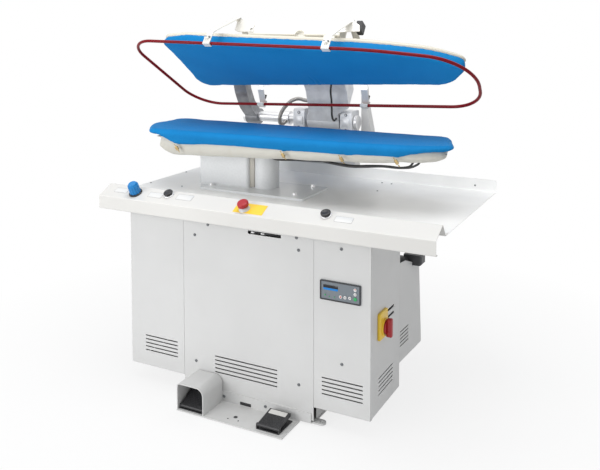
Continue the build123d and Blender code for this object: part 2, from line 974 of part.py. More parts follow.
with BuildPart() as cover_springs:
    for spring_x in spring_places:
        edge_y, edge_slope = front_edge(spring_x)
        spring_y = edge_y + spring_inset * hypot(1, edge_slope)
        spring_z = buck_top - buck_cover_depth + buck_tilt * spring_x - soft_gap
        with Locations((spring_x, spring_y, spring_z)):
            Cylinder(spring_radius, spring_length, align=(Align.CENTER, Align.CENTER, Align.MAX))
cover_springs.part.label = "cover_springs"
export_step(cover_springs.part, "parts/cover_springs.step")

# Head: cast dome, and the blue cover with its pad underneath
cover_rim = face_height + cover_height
plug_inset = 15
plug_floor = 30
with BuildPart() as head_casting:
    for height, inset, shift in (
        (cover_rim + 0.5, 3, 0),
        (cover_rim + 16, 9, -3),
        (casting_height - 13, 21, -9),
        (casting_height - 4, 32, -14),
        (casting_height, 43, -18),
    ):
        with BuildSketch(head_level(height)):
            with BuildLine():
                pad_line(inset, lambda corners: from_pivot([(x + shift, y) for x, y in corners]))
            make_face()
    loft(ruled=True)
    with BuildSketch(head_level(plug_floor)):
        with BuildLine():
            pad_line(plug_inset, from_pivot)
        make_face()
    extrude(amount=cover_rim + 0.5 - plug_floor)
head_casting.part.label = "head_casting"
export_step(head_casting.part, "parts/head_casting.step")

with BuildPart() as head_cover:
    for rise, inset in ((0, 44), (0.8, 30), (3, 14), (8, 5), (18, 0), (32, 0.5), (40, 2.5), (cover_height, 8)):
        with BuildSketch(head_level(face_height + rise)):
            with BuildLine():
                pad_line(inset, from_pivot)
            make_face()
    loft(ruled=True)
    with BuildSketch(head_level(plug_floor - soft_gap)):
        with BuildLine():
            pad_line(plug_inset - soft_gap, from_pivot)
        make_face()
    extrude(amount=2 * cover_height, mode=Mode.SUBTRACT)
head_cover.part.label = "head_cover"
export_step(head_cover.part, "parts/head_cover.step")

# Crossbar across the top of the head, with a half-round notch and two feet
notch_x = -10
notch_radius = 20
crossbar_foot_width = 46
with BuildPart() as crossbar:
    with BuildSketch(head_across(crossbar_left)):
        with Locations(
            ((crossbar_front + crossbar_rear) / 2 - pivot_y, (crossbar_bottom + crossbar_top) / 2)
        ):
            RectangleRounded(crossbar_rear - crossbar_front, crossbar_top - crossbar_bottom, 5)
    extrude(amount=crossbar_right - crossbar_left)
    for foot_x in (crossbar_left + 20, crossbar_right - 20 - crossbar_foot_width):
        with BuildSketch(head_across(foot_x)):
            with Locations(
                ((crossbar_front + crossbar_rear) / 2 - pivot_y, casting_height)
            ):
                Rectangle(
                    crossbar_rear - crossbar_front - 12,
                    crossbar_bottom - casting_height,
                    align=(Align.CENTER, Align.MIN),
                )
        extrude(amount=crossbar_foot_width)
    with BuildSketch(head_front(crossbar_front - pivot_y)):
        with Locations((notch_x, crossbar_bottom)):
            Circle(notch_radius)
    extrude(amount=-14, mode=Mode.SUBTRACT)
    with BuildSketch(head_level(crossbar_top)):
        with Locations((crossbar_left + 58, (crossbar_front + crossbar_rear) / 2 - pivot_y)):
            Circle(10)
    extrude(amount=9)
crossbar.part.label = "crossbar"
export_step(crossbar.part, "parts/crossbar.step")

# Head arm: box lever from the pivot hub over the ring to the crossbar, with the crank behind
hub_left = -138
hub_right = 11
hub_radius = 42
arm_left = -120
arm_right = 68
arm_split = -93
crank_width = 26
crank_thickness = 20
crank_boss = 18
pin_overhang = 24
crank_turn = crank_angle + open_angle
with BuildPart() as head_arm:
    with BuildSketch(head_across(hub_left)):
        with BuildLine():
            FilletPolyline(
                (10, 41),
                (-110, 118),
                (-250, crossbar_top),
                (crossbar_rear - pivot_y, crossbar_top),
                (crossbar_rear - pivot_y, casting_height),
                (-250, casting_height),
                (-148, 62),
                (-93, 18),
                (-10, -40),
                radius=[40, 60, 2, 2, 30, 40, 60],
            )
            Line((-10, -40), (10, 41))
        make_face()
    extrude(amount=arm_right - hub_left)
    with BuildSketch(head_level(-60)):
        with BuildLine():
            Polyline(
                (arm_left, crossbar_rear - pivot_y - 5),
                (arm_right, crossbar_rear - pivot_y - 5),
                (arm_right, arm_split),
                (hub_right, arm_split + 27),
                (hub_right, hub_radius + 20),
                (hub_left, hub_radius + 20),
                (hub_left, arm_split + 50),
                (arm_left, arm_split + 27),
                close=True,
            )
        make_face()
    extrude(amount=300, mode=Mode.INTERSECT)
    with BuildSketch(head_across(hub_left)):
        Circle(hub_radius)
    extrude(amount=hub_right - hub_left)
    with BuildSketch(head_across(cylinder_x - crank_thickness / 2)):
        crank_pin = (crank_radius * cos(radians(crank_turn)), crank_radius * sin(radians(crank_turn)))
        with Locations(crank_pin):
            Circle(crank_boss)
        with Locations((crank_pin[0] / 2, crank_pin[1] / 2)):
            Rectangle(crank_radius, crank_width, rotation=crank_turn)
    extrude(amount=crank_thickness)
    with BuildSketch(head_across(cylinder_x - pin_overhang)):
        with Locations(crank_pin):
            Circle(crank_pin_radius)
    extrude(amount=2 * pin_overhang)
    with BuildSketch(head_across(hub_left)):
        Circle(shaft_radius + running_fit)
    extrude(amount=arm_right - hub_left, mode=Mode.SUBTRACT)
head_arm.part.label = "head_arm"
export_step(head_arm.part, "parts/head_arm.step")

# Shaft through both bearing blocks, with end collars
collar_radius = 30
collar_width = 12
union_left = -262
union_width = 26
with BuildPart() as pivot_shaft:
    with BuildSketch(head_across(shaft_left)):
        Circle(shaft_radius)
    extrude(amount=shaft_right - shaft_left)
    for collar_x in (shaft_left, shaft_right - collar_width, union_left):
        with BuildSketch(head_across(collar_x)):
            Circle(collar_radius)
        extrude(amount=union_width if collar_x == union_left else collar_width)
pivot_shaft.part.label = "pivot_shaft"
export_step(pivot_shaft.part, "parts/pivot_shaft.step")

# Swan-neck arm at the left end of the shaft, flanged onto the top of the casting
swan_left = shaft_left + collar_width + 0.5
swan_width = 60
swan_hub_radius = 34
swan_depth = 42
swan_seat = -246
with BuildPart() as swan_neck_arm:
    with BuildSketch(head_across(swan_left)):
        with BuildLine():
            FilletPolyline(
                (0, 0), (-88, 14), (-150, 46), (-240, 120), (-340, 120), radius=[70, 60, 50]
            )
        trace(line_width=swan_depth)
        Circle(swan_hub_radius)
    extrude(amount=swan_width)
    with BuildSketch(head_across(swan_left - 8)):
        with Locations((-300, casting_height + 5)):
            Rectangle(90, 10)
    extrude(amount=swan_width + 16)
    with BuildSketch(head_across(swan_left)):
        Circle(shaft_radius + running_fit)
    extrude(amount=swan_width, mode=Mode.SUBTRACT)
    with BuildSketch(head_level(0)):
        with Locations((swan_left + swan_width / 2, swan_seat)):
            Rectangle(2 * swan_width, 200, align=(Align.CENTER, Align.MAX))
    extrude(amount=casting_height, mode=Mode.SUBTRACT)
swan_neck_arm.part.label = "swan_neck_arm"
export_step(swan_neck_arm.part, "parts/swan_neck_arm.step")

# Steam hose from the rotary union into the arm, and the cable along the arm
hose_radius = 8
cable_radius = 4


def from_head(x, back, up):
    """Place of a point of the closed head in the open pose that is drawn."""
    return (
        x,
        pivot_y + back * cos_open + up * sin_open,
        pivot_z - back * sin_open + up * cos_open,
    )


union_x = union_left + union_width / 2
hose_route = [
    from_head(union_x, -16.6, -25.4),
    from_head(union_x, -30, -46),
    from_head(union_x, -52, -56),
    from_head(-246, -76, -44),
    from_head(-238, -90, -18),
    from_head(-220, -99, 10),
    from_head(-196, -104, 34),
    from_head(-170, -98, 48),
    from_head(-146, -86, 46),
    from_head(arm_left - 0.3, -86, 46),
]
cable_route = [
    from_head(24, -205.1, 81.8),
    from_head(23, -213, 59.5),
    from_head(21, -200, 38),
    from_head(18, -180, 26),
    from_head(15, -158, 16),
    from_head(11, -138, 5),
    from_head(8, -120, -8),
    from_head(5, -103, -21),
    from_head(3, -84, -30),
    from_head(3, -63.8, -31.7),
    from_head(3, -50.2, -12.3),
]
with BuildPart() as head_lines:
    tube(hose_route, hose_radius)
    tube(cable_route, cable_radius)
head_lines.part.label = "head_lines"
export_step(head_lines.part, "parts/head_lines.step")

# Safety ring: one bent tube around the head
with BuildPart() as safety_ring:
    with BuildLine(head_level(ring_height)) as ring_path:
        FilletPolyline(*from_pivot(ring_corners), radius=ring_radii, close=True)
    with BuildSketch(Plane(origin=ring_path.line @ 0, z_dir=ring_path.line % 0)):
        Circle(ring_radius)
    sweep(path=ring_path.line)
safety_ring.part.label = "safety_ring"
export_step(safety_ring.part, "parts/safety_ring.step")


def ring_depth(x, first, second):
    """Closed depth of the ring's rod at x, on its straight run between two corners."""
    along = (x - first[0]) / (second[0] - first[0])
    return first[1] + along * (second[1] - first[1])


def rod_half(first, second):
    """Half the depth that the slanting rod fills across the width of a clip."""
    slope = abs((second[1] - first[1]) / (second[0] - first[0]))
    return ring_radius * hypot(1, slope) + clip_width / 2 * slope


# Straps from the front rod over the head to the rear rod, with a gusset beside each top
seat_gap = 0.1
clip_width = 30
strap_top = 180
strap_reach = 125
guide_shank = 4
guide_gap = 0.1
guide_head = 8
guide_height = 139
plate_y = crossbar_front - soft_gap - pivot_y
gusset_plates = {
    strap_centres[0]: [(-302, 125), (-284, 117), (-213, 118), (-219, 149), (-238, 158), (-288, 178), (-302, 178)],
    strap_centres[1]: [(183, 178), (136, 160), (136, 119), (235, 125), (228, 151), (189, 177)],
}
guide_spots = {strap_centres[0]: -226, strap_centres[1]: 146}


def strap_profile(strap_x):
    """Closed side outline of a strap: front leg, top and the bent rear leg."""
    front = ring_depth(strap_x, ring_corners[0], ring_corners[1]) - pivot_y
    rear = ring_depth(strap_x, ring_corners[3], ring_corners[4]) - pivot_y
    front_seat = rod_half(ring_corners[0], ring_corners[1]) + seat_gap + strap_thickness / 2
    rear_seat = rod_half(ring_corners[3], ring_corners[4]) + seat_gap + strap_thickness / 2
    return [
        (front - front_seat, ring_height - ring_radius),
        (front - front_seat, 24),
        (front + 22, 62),
        (front + strap_reach, strap_top),
        (rear - 87, 110),
        (rear - 39, 28),
        (rear + rear_seat, -8),
        (rear + rear_seat, ring_height - ring_radius),
    ]


with BuildPart() as ring_straps:
    for strap_x in strap_centres:
        profile = strap_profile(strap_x)
        with BuildSketch(head_across(strap_x - strap_width / 2)):
            with BuildLine():
                FilletPolyline(*profile, radius=6)
            trace(line_width=strap_thickness)
        extrude(amount=strap_width)
        with BuildSketch(head_front(plate_y)):
            with BuildLine():
                Polyline(*gusset_plates[strap_x], close=True)
            make_face()
            with Locations((guide_spots[strap_x], guide_height - ring_slide / 2)):
                SlotOverall(
                    ring_slide + 2 * (guide_shank + guide_gap),
                    2 * (guide_shank + guide_gap),
                    rotation=90,
                    mode=Mode.SUBTRACT,
                )
        extrude(amount=strap_thickness)
ring_straps.part.label = "ring_straps"
export_step(ring_straps.part, "parts/ring_straps.step")

# Shoulder screws in the crossbar, on which the ring's plates slide
with BuildPart() as guide_screws:
    for spot_x in guide_spots.values():
        with BuildSketch(head_front(crossbar_front - pivot_y)):
            with Locations((spot_x, guide_height)):
                Circle(guide_shank)
        extrude(amount=strap_thickness + 2 * soft_gap)
        with BuildSketch(head_front(plate_y - strap_thickness - soft_gap)):
            with Locations((spot_x, guide_height)):
                RegularPolygon(guide_head, 6)
        extrude(amount=4)
guide_screws.part.label = "guide_screws"
export_step(guide_screws.part, "parts/guide_screws.step")

# Clips that clamp each strap to the rod, with a thumb screw
clip_sheet = 2.5
screw_head = 6
with BuildPart() as ring_clips:
    for strap_x in strap_centres:
        front = ring_depth(strap_x, ring_corners[0], ring_corners[1]) - pivot_y
        rear = ring_depth(strap_x, ring_corners[3], ring_corners[4]) - pivot_y
        front_half = rod_half(ring_corners[0], ring_corners[1])
        rear_half = rod_half(ring_corners[3], ring_corners[4])
        for rod, half, side in ((front, front_half, -1), (rear, rear_half, 1)):
            outside = rod + side * (half + strap_thickness + 2 * seat_gap)
            skin = outside + side * clip_sheet
            inside = rod - side * (half + seat_gap)
            lining = inside - side * clip_sheet
            under = ring_height - ring_radius - 0.3
            with BuildSketch(head_across(strap_x - clip_width / 2)):
                with BuildLine():
                    Polyline(
                        (skin, 2),
                        (skin, under - clip_sheet),
                        (lining, under - clip_sheet),
                        (lining, ring_height + 2),
                        (inside, ring_height + 2),
                        (inside, under),
                        (outside, under),
                        (outside, 2),
                        close=True,
                    )
                make_face()
            extrude(amount=clip_width)
            screw_plane = Plane(
                origin=from_head(strap_x, skin, -6),
                x_dir=(1, 0, 0),
                z_dir=(0, side * cos_open, -side * sin_open),
            )
            with BuildSketch(screw_plane):
                Circle(screw_head)
            extrude(amount=5)
            with BuildSketch(screw_plane.offset(5)):
                Rectangle(3 * screw_head, 4)
            extrude(amount=5)
ring_clips.part.label = "ring_clips"
export_step(ring_clips.part, "parts/ring_clips.step")

# Switch at the edge of the right strap that feels the ring move
switch_left = 212
switch_width = 24
switch_depth = 34
switch_bottom = 131
switch_top = 173
with BuildPart() as limit_switch:
    with BuildSketch(head_front(plate_y + soft_gap)):
        with Locations((switch_left + switch_width / 2, (switch_bottom + switch_top) / 2)):
            RectangleRounded(switch_width, switch_top - switch_bottom, 4)
    extrude(amount=-switch_depth)
    with BuildSketch(head_front(plate_y + soft_gap + switch_depth)):
        with Locations((switch_left + switch_width / 2, switch_bottom + 12)):
            Circle(7)
    extrude(amount=-9)
limit_switch.part.label = "limit_switch"
export_step(limit_switch.part, "parts/limit_switch.step")

# Pneumatic cylinder between the column's cheeks and the crank, drawn with its rod in
crank_pin_y = pivot_y + crank_radius * cos(radians(crank_angle))
crank_pin_z = pivot_z + crank_radius * sin(radians(crank_angle))
cylinder_rise = crank_pin_z - cylinder_foot_z
cylinder_lean = crank_pin_y - cylinder_foot_y
cylinder_length = hypot(cylinder_rise, cylinder_lean)
cylinder_plane = Plane(
    origin=(cylinder_x, cylinder_foot_y, cylinder_foot_z),
    x_dir=(1, 0, 0),
    z_dir=(0, cylinder_lean / cylinder_length, cylinder_rise / cylinder_length),
)
cap_height = 24
cap_start = 30
tube_length = 152
tube_radius = barrel_radius - 5
bore_radius = 36
eye_neck = 26
top_cap_end = cap_start + 2 * cap_height + tube_length
with BuildPart() as cylinder_barrel:
    with BuildSketch(cylinder_plane.offset(cap_start)):
        Circle(barrel_radius)
    extrude(amount=cap_height)
    with BuildSketch(cylinder_plane.offset(cap_start + cap_height)):
        Circle(tube_radius)
        Circle(bore_radius, mode=Mode.SUBTRACT)
    extrude(amount=tube_length)
    with BuildSketch(cylinder_plane.offset(cap_start + cap_height + tube_length)):
        Circle(barrel_radius)
        Circle(rod_radius + running_fit, mode=Mode.SUBTRACT)
    extrude(amount=cap_height)
    with BuildSketch(cylinder_plane):
        Rectangle(eye_width, eye_neck)
    extrude(amount=cap_start)
    with BuildSketch(across(cylinder_x - eye_width / 2)):
        with Locations((cylinder_foot_y, cylinder_foot_z)):
            Circle(eye_radius)
    extrude(amount=eye_width)
    with BuildSketch(across(cylinder_x - eye_width / 2)):
        with Locations((cylinder_foot_y, cylinder_foot_z)):
            Circle(foot_pin_radius + running_fit)
    extrude(amount=eye_width, mode=Mode.SUBTRACT)
cylinder_barrel.part.label = "cylinder_barrel"
export_step(cylinder_barrel.part, "parts/cylinder_barrel.step")

piston_height = 20
piston_start = cap_start + cap_height + 4
fork_base = 34
fork_base_height = 14
fork_lug = 10
fork_gap = 1
fork_radius = crank_pin_radius + open_pivot_clearance + 8
fork_inside = crank_thickness / 2 + fork_gap
with BuildPart() as cylinder_rod:
    with BuildSketch(cylinder_plane.offset(piston_start)):
        Circle(bore_radius - running_fit)
    extrude(amount=piston_height)
    with BuildSketch(cylinder_plane.offset(piston_start)):
        Circle(rod_radius)
    extrude(amount=cylinder_length - fork_base - piston_start)
    with BuildSketch(cylinder_plane.offset(cylinder_length - fork_base - fork_base_height)):
        RectangleRounded(2 * (fork_inside + fork_lug), 2 * fork_radius, 4)
    extrude(amount=fork_base_height)
    for lug_x in (-fork_inside - fork_lug, fork_inside):
        with BuildSketch(cylinder_plane.offset(cylinder_length - fork_base)):
            with Locations((lug_x + fork_lug / 2, 0)):
                Rectangle(fork_lug, 2 * fork_radius)
        extrude(amount=fork_base)
        with BuildSketch(across(cylinder_x + lug_x)):
            with Locations((crank_pin_y, crank_pin_z)):
                Circle(fork_radius)
        extrude(amount=fork_lug)
    with BuildSketch(across(cylinder_x - fork_inside - fork_lug)):
        with Locations((crank_pin_y, crank_pin_z)):
            Circle(crank_pin_radius + open_pivot_clearance)
    extrude(amount=2 * (fork_inside + fork_lug), mode=Mode.SUBTRACT)
cylinder_rod.part.label = "cylinder_rod"
export_step(cylinder_rod.part, "parts/cylinder_rod.step")

# Controls stand on the slope of the console, square to it
slope_angle = atan2(ridge_height - slope_foot_height, ridge_front - fascia_front)
slope_plane = Plane(
    origin=(0, fascia_front, slope_foot_height),
    x_dir=(1, 0, 0),
    z_dir=(0, -sin(slope_angle), cos(slope_angle)),
)
knob_up = 37
button_up = 50
estop_up = 28
knob_radius = 21
knob_height = 38
knob_ring_radius = 25
knob_ring_height = 5
knob_stem_radius = 6
button_radius = 11
button_height = 9
bezel_radius = 15
bezel_height = 6
estop_radius = 20
estop_head = 14
estop_stem_radius = 9
estop_collar_radius = 15
estop_collar_height = 12
estop_plate_width = 115
estop_plate_start = 8
estop_plate_depth = 49
estop_plate_thickness = 1
with BuildPart() as estop_plate:
    with BuildSketch(slope_plane):
        with Locations((0, estop_plate_start + estop_plate_depth / 2)):
            Rectangle(estop_plate_width, estop_plate_depth)
        with Locations((estop_x, estop_up)):
            Circle(estop_collar_radius + control_gap, mode=Mode.SUBTRACT)
    extrude(amount=estop_plate_thickness)
estop_plate.part.label = "estop_plate"
export_step(estop_plate.part, "parts/estop_plate.step")

with BuildPart() as control_bezels:
    with BuildSketch(slope_plane):
        with Locations((knob_x, knob_up)):
            Circle(knob_ring_radius)
            Circle(knob_stem_radius + control_gap, mode=Mode.SUBTRACT)
    extrude(amount=knob_ring_height)
    with BuildSketch(slope_plane):
        with Locations((left_button_x, button_up), (right_button_x, button_up)):
            Circle(bezel_radius)
            Circle(button_radius + control_gap, mode=Mode.SUBTRACT)
    extrude(amount=bezel_height)
    with BuildSketch(slope_plane):
        with Locations((estop_x, estop_up)):
            Circle(estop_collar_radius)
            Circle(estop_stem_radius + control_gap, mode=Mode.SUBTRACT)
    extrude(amount=estop_collar_height)
control_bezels.part.label = "control_bezels"
export_step(control_bezels.part, "parts/control_bezels.step")

for control_x, button_name in ((left_button_x, "left_push_button"), (right_button_x, "right_push_button")):
    with BuildPart() as push_button:
        with BuildSketch(slope_plane.offset(button_travel + control_gap)):
            with Locations((control_x, button_up)):
                Circle(button_radius)
        extrude(amount=button_height)
        fillet(push_button.faces().sort_by(Axis.Z)[-1].edges(), 2)
    push_button.part.label = button_name
    export_step(push_button.part, f"parts/{button_name}.step")

with BuildPart() as estop_button:
    with BuildSketch(slope_plane.offset(estop_travel + control_gap)):
        with Locations((estop_x, estop_up)):
            Circle(estop_stem_radius)
    extrude(amount=estop_collar_height + 2)
    with BuildSketch(slope_plane.offset(estop_collar_height + estop_travel + 1)):
        with Locations((estop_x, estop_up)):
            Circle(estop_radius)
    extrude(amount=estop_head)
    fillet(estop_button.faces().sort_by(Axis.Z)[-1].edges(), 6)
estop_button.part.label = "estop_button"
export_step(estop_button.part, "parts/estop_button.step")

with BuildPart() as regulator_knob:
    with BuildSketch(slope_plane.offset(control_gap)):
        with Locations((knob_x, knob_up)):
            Circle(knob_stem_radius)
    extrude(amount=knob_ring_height + 1)
    with BuildSketch(slope_plane.offset(knob_ring_height + 1)):
        with Locations((knob_x, knob_up)):
            Circle(knob_radius)
            with PolarLocations(knob_radius + 1.5, 12):
                Circle(3, mode=Mode.SUBTRACT)
    extrude(amount=knob_height - 6, taper=2)
    with BuildSketch(slope_plane.offset(knob_ring_height + 1 + knob_height - 6)):
        with Locations((knob_x, knob_up)):
            Circle(knob_radius - 4)
    extrude(amount=6, taper=20)
regulator_knob.part.label = "regulator_knob"
export_step(regulator_knob.part, "parts/regulator_knob.step")

# Display housing: a thin frame on the panel with its box through the cut-out
screen_x = 274
screen_z = 491.5
screen_width = 52
screen_height = 15
key_spots = [(311, 467), (327, 467), (344, 468), (363, 467), (363, 498), (363, 483)]
with BuildPart() as display_panel:
    with BuildSketch(facing_front(front_face)):
        with Locations((display_x, display_z)):
            RectangleRounded(display_width, display_height, 4)
    extrude(amount=display_proud)
    with BuildSketch(facing_front(front_face)):
        with Locations((display_x, display_z)):
            Rectangle(
                display_width - 2 * display_box_border, display_height - 2 * display_box_border
            )
    extrude(amount=-display_box_depth)
    with BuildSketch(facing_front(front_face - display_proud)):
        with Locations((screen_x, screen_z)):
            Rectangle(screen_width, screen_height)
    extrude(amount=-1, mode=Mode.SUBTRACT)
    with BuildSketch(facing_front(front_face - display_proud)):
        with Locations(*key_spots):
            RectangleRounded(10, 8, 2)
    extrude(amount=0.8)
display_panel.part.label = "display_panel"
export_step(display_panel.part, "parts/display_panel.step")

# Main switch on the right side: yellow body and red turning handle
switch_body_y = -272
switch_body_z = 358
switch_body_width = 76
switch_body_height = 92
switch_body_depth = 26
handle_y = -262
handle_z = 346
handle_base = 25
handle_gap = 0.5
spindle_radius = 5
with BuildPart() as main_switch_body:
    with BuildSketch(across(right_box_right)):
        with Locations((switch_body_y, switch_body_z)):
            RectangleRounded(switch_body_width, switch_body_height, 6)
    extrude(amount=switch_body_depth)
    with BuildSketch(across(right_box_right + switch_body_depth)):
        with Locations((handle_y, handle_z)):
            Circle(spindle_radius)
    extrude(amount=14)
main_switch_body.part.label = "main_switch_body"
export_step(main_switch_body.part, "parts/main_switch_body.step")

handle_start = right_box_right + switch_body_depth + handle_gap
with BuildPart() as main_switch_handle:
    with BuildSketch(across(handle_start)):
        with Locations((handle_y, handle_z)):
            Circle(handle_base)
    extrude(amount=10)
    with BuildSketch(across(handle_start + 10)):
        with Locations((handle_y, handle_z)):
            SlotOverall(66, 20, rotation=90)
    extrude(amount=24)
    with BuildSketch(across(handle_start)):
        with Locations((handle_y, handle_z)):
            Circle(spindle_radius + running_fit)
    extrude(amount=14, mode=Mode.SUBTRACT)
main_switch_handle.part.label = "main_switch_handle"
export_step(main_switch_handle.part, "parts/main_switch_handle.step")

# Pedal bracket: floor plate and riser folded from one sheet
riser_left = -164
riser_right = 201
riser_top = 43
riser_bottom = 8
pedal_x = (pedal_plate_left + pedal_plate_right) / 2
pedal_y = (pedal_front + front_face) / 2
riser_plane_y = front_face - pedal_plate_thickness
with BuildPart() as pedal_bracket:
    with BuildSketch(level(pedal_plate_bottom)):
        with Locations((pedal_x, pedal_y)):
            Rectangle(pedal_plate_right - pedal_plate_left, front_face - pedal_front)
        with Locations((-51, -451)):
            Circle(6, mode=Mode.SUBTRACT)
        with Locations((-71, -471), (-30, -469)):
            Circle(2.5, mode=Mode.SUBTRACT)
    extrude(amount=pedal_plate_thickness)
    with BuildSketch(facing_front(front_face)):
        with Locations(((riser_left + riser_right) / 2, riser_bottom / 2 + riser_top / 2)):
            Rectangle(riser_right - riser_left, riser_top - riser_bottom)
        with Locations(((riser_left + pedal_plate_right) / 2, riser_bottom)):
            Rectangle(
                pedal_plate_right - riser_left,
                riser_bottom - pedal_plate_bottom,
                align=(Align.CENTER, Align.MAX),
            )
        with Locations((-60, 12)):
            RectangleRounded(44, 7, 2, mode=Mode.SUBTRACT)
    extrude(amount=pedal_plate_thickness)
pedal_bracket.part.label = "pedal_bracket"
export_step(pedal_bracket.part, "parts/pedal_bracket.step")

pedal_floor = pedal_plate_bottom + pedal_plate_thickness
with BuildPart() as pedal_hood:
    with BuildSketch(facing_front(riser_plane_y)):
        with BuildLine():
            FilletPolyline(
                (pedal_plate_left + hood_sheet / 2, pedal_floor),
                (pedal_plate_left + hood_sheet / 2, hood_top - hood_sheet / 2),
                (hood_right - hood_sheet / 2, hood_top - hood_sheet / 2),
                (hood_right - hood_sheet / 2, pedal_floor),
                radius=[10, 28],
            )
        trace(line_width=hood_sheet)
    extrude(amount=riser_plane_y - pedal_front - 2)
pedal_hood.part.label = "pedal_hood"
export_step(pedal_hood.part, "parts/pedal_hood.step")

# Pedals: each treadle turns on a pin across the front of its base
left_tread_left = -256
left_tread_right = -167
left_hinge_y = -484
left_hinge_z = 16
right_hinge_y = -479
right_hinge_z = 20
hinge_radius = 6
pin_radius = 3
ear_thickness = 4
ear_gap = 0.5
right_tread_left = right_switch_left + ear_thickness + ear_gap
right_tread_right = right_switch_right - ear_thickness - ear_gap
with BuildPart() as pedal_bases:
    for left, right, hinge_y, hinge_z, plate_rear in (
        (left_tread_left, left_tread_right, left_hinge_y, left_hinge_z, -384),
        (right_tread_left, right_tread_right, right_hinge_y, right_hinge_z, right_switch_rear),
    ):
        plate_y_front = hinge_y - hinge_radius
        with BuildSketch(level(pedal_floor)):
            with Locations(((left + right) / 2, (plate_y_front + plate_rear) / 2)):
                Rectangle(right - left + 2 * (ear_gap + ear_thickness), plate_rear - plate_y_front)
        extrude(amount=3)
        for ear_x in (left - ear_gap - ear_thickness, right + ear_gap):
            with BuildSketch(across(ear_x)):
                with Locations((hinge_y, hinge_z)):
                    Circle(hinge_radius)
                with Locations((hinge_y, pedal_floor)):
                    Rectangle(
                        2 * hinge_radius,
                        hinge_z - pedal_floor,
                        align=(Align.CENTER, Align.MIN),
                    )
            extrude(amount=ear_thickness)
        with BuildSketch(across(left - ear_gap - ear_thickness)):
            with Locations((hinge_y, hinge_z)):
                Circle(pin_radius)
        extrude(amount=right - left + 2 * (ear_gap + ear_thickness))
    with Locations(((left_tread_left + left_tread_right) / 2, -408, pedal_floor + 3)):
        Box(40, 24, 18, align=(Align.CENTER, Align.CENTER, Align.MIN))
pedal_bases.part.label = "pedal_bases"
export_step(pedal_bases.part, "parts/pedal_bases.step")

with BuildPart() as left_treadle:
    with BuildSketch(across(left_tread_left)):
        with Locations((left_hinge_y, left_hinge_z)):
            Circle(hinge_radius)
        with BuildLine():
            Polyline(
                (left_hinge_y - 3, left_hinge_z + 5),
                (left_hinge_y + 4, left_hinge_z - 4.4),
                (-386, 58),
                (-382, 66),
                (-389, 70),
                close=True,
            )
        make_face()
        with Locations((left_hinge_y, left_hinge_z)):
            Circle(pin_radius + running_fit, mode=Mode.SUBTRACT)
    extrude(amount=left_tread_right - left_tread_left)
left_treadle.part.label = "left_treadle"
export_step(left_treadle.part, "parts/left_treadle.step")

with BuildPart() as right_treadle:
    with BuildSketch(across(right_tread_left)):
        with Locations((right_hinge_y, right_hinge_z)):
            Circle(hinge_radius)
        with BuildLine():
            Polyline(
                (right_hinge_y - 2, right_hinge_z + 5.6),
                (right_hinge_y + 2, right_hinge_z - 5.6),
                (right_switch_rear - 4, 26),
                (right_switch_rear - 4, 36),
                (right_switch_rear - 8, 38),
                close=True,
            )
        make_face()
        with Locations((right_hinge_y, right_hinge_z)):
            Circle(pin_radius + running_fit, mode=Mode.SUBTRACT)
    extrude(amount=right_tread_right - right_tread_left)
right_treadle.part.label = "right_treadle"
export_step(right_treadle.part, "parts/right_treadle.step")

# Screws of the front panels and the riser
screw_radius = 5.5
screw_proud = 3
front_screws = [
    (-273, 598), (-271, 129), (152, 600), (153, 132), (-216, 642), (144, 642), (311, 626), (314, 237)
]
riser_screws = [(-148, 24), (23, 26)]
with BuildPart() as panel_screws:
    for plane_y, spots in ((front_face, front_screws), (riser_plane_y, riser_screws)):
        with BuildSketch(facing_front(plane_y)):
            with Locations(*spots):
                Circle(screw_radius)
        extrude(amount=screw_proud, taper=15)
panel_screws.part.label = "panel_screws"
export_step(panel_screws.part, "parts/panel_screws.step")

# Boiler: upright vessel with domed ends on three legs
boiler_x = -190
boiler_y = 150
boiler_radius = 118
boiler_bottom = 90
boiler_top = 560
dome = 36
leg_width = 40
with BuildPart() as boiler:
    with BuildSketch(Plane.XZ.offset(-boiler_y)):
        with BuildLine():
            Polyline(
                (boiler_x, boiler_bottom),
                (boiler_x + boiler_radius * 0.7, boiler_bottom + 8),
                (boiler_x + boiler_radius, boiler_bottom + dome),
                (boiler_x + boiler_radius, boiler_top - dome),
                (boiler_x + boiler_radius * 0.7, boiler_top - 8),
                (boiler_x + 24, boiler_top),
                (boiler_x + 24, boiler_top + 26),
                (boiler_x, boiler_top + 26),
                close=True,
            )
        make_face()
    revolve(axis=Axis((boiler_x, boiler_y, 0), (0, 0, 1)))
    with BuildSketch(level(base_top)):
        with Locations((boiler_x, boiler_y)):
            with PolarLocations(boiler_radius - 10, 3):
                Rectangle(8, leg_width)
    extrude(amount=boiler_bottom + dome + 20 - base_top)
boiler.part.label = "boiler"
export_step(boiler.part, "parts/boiler.step")

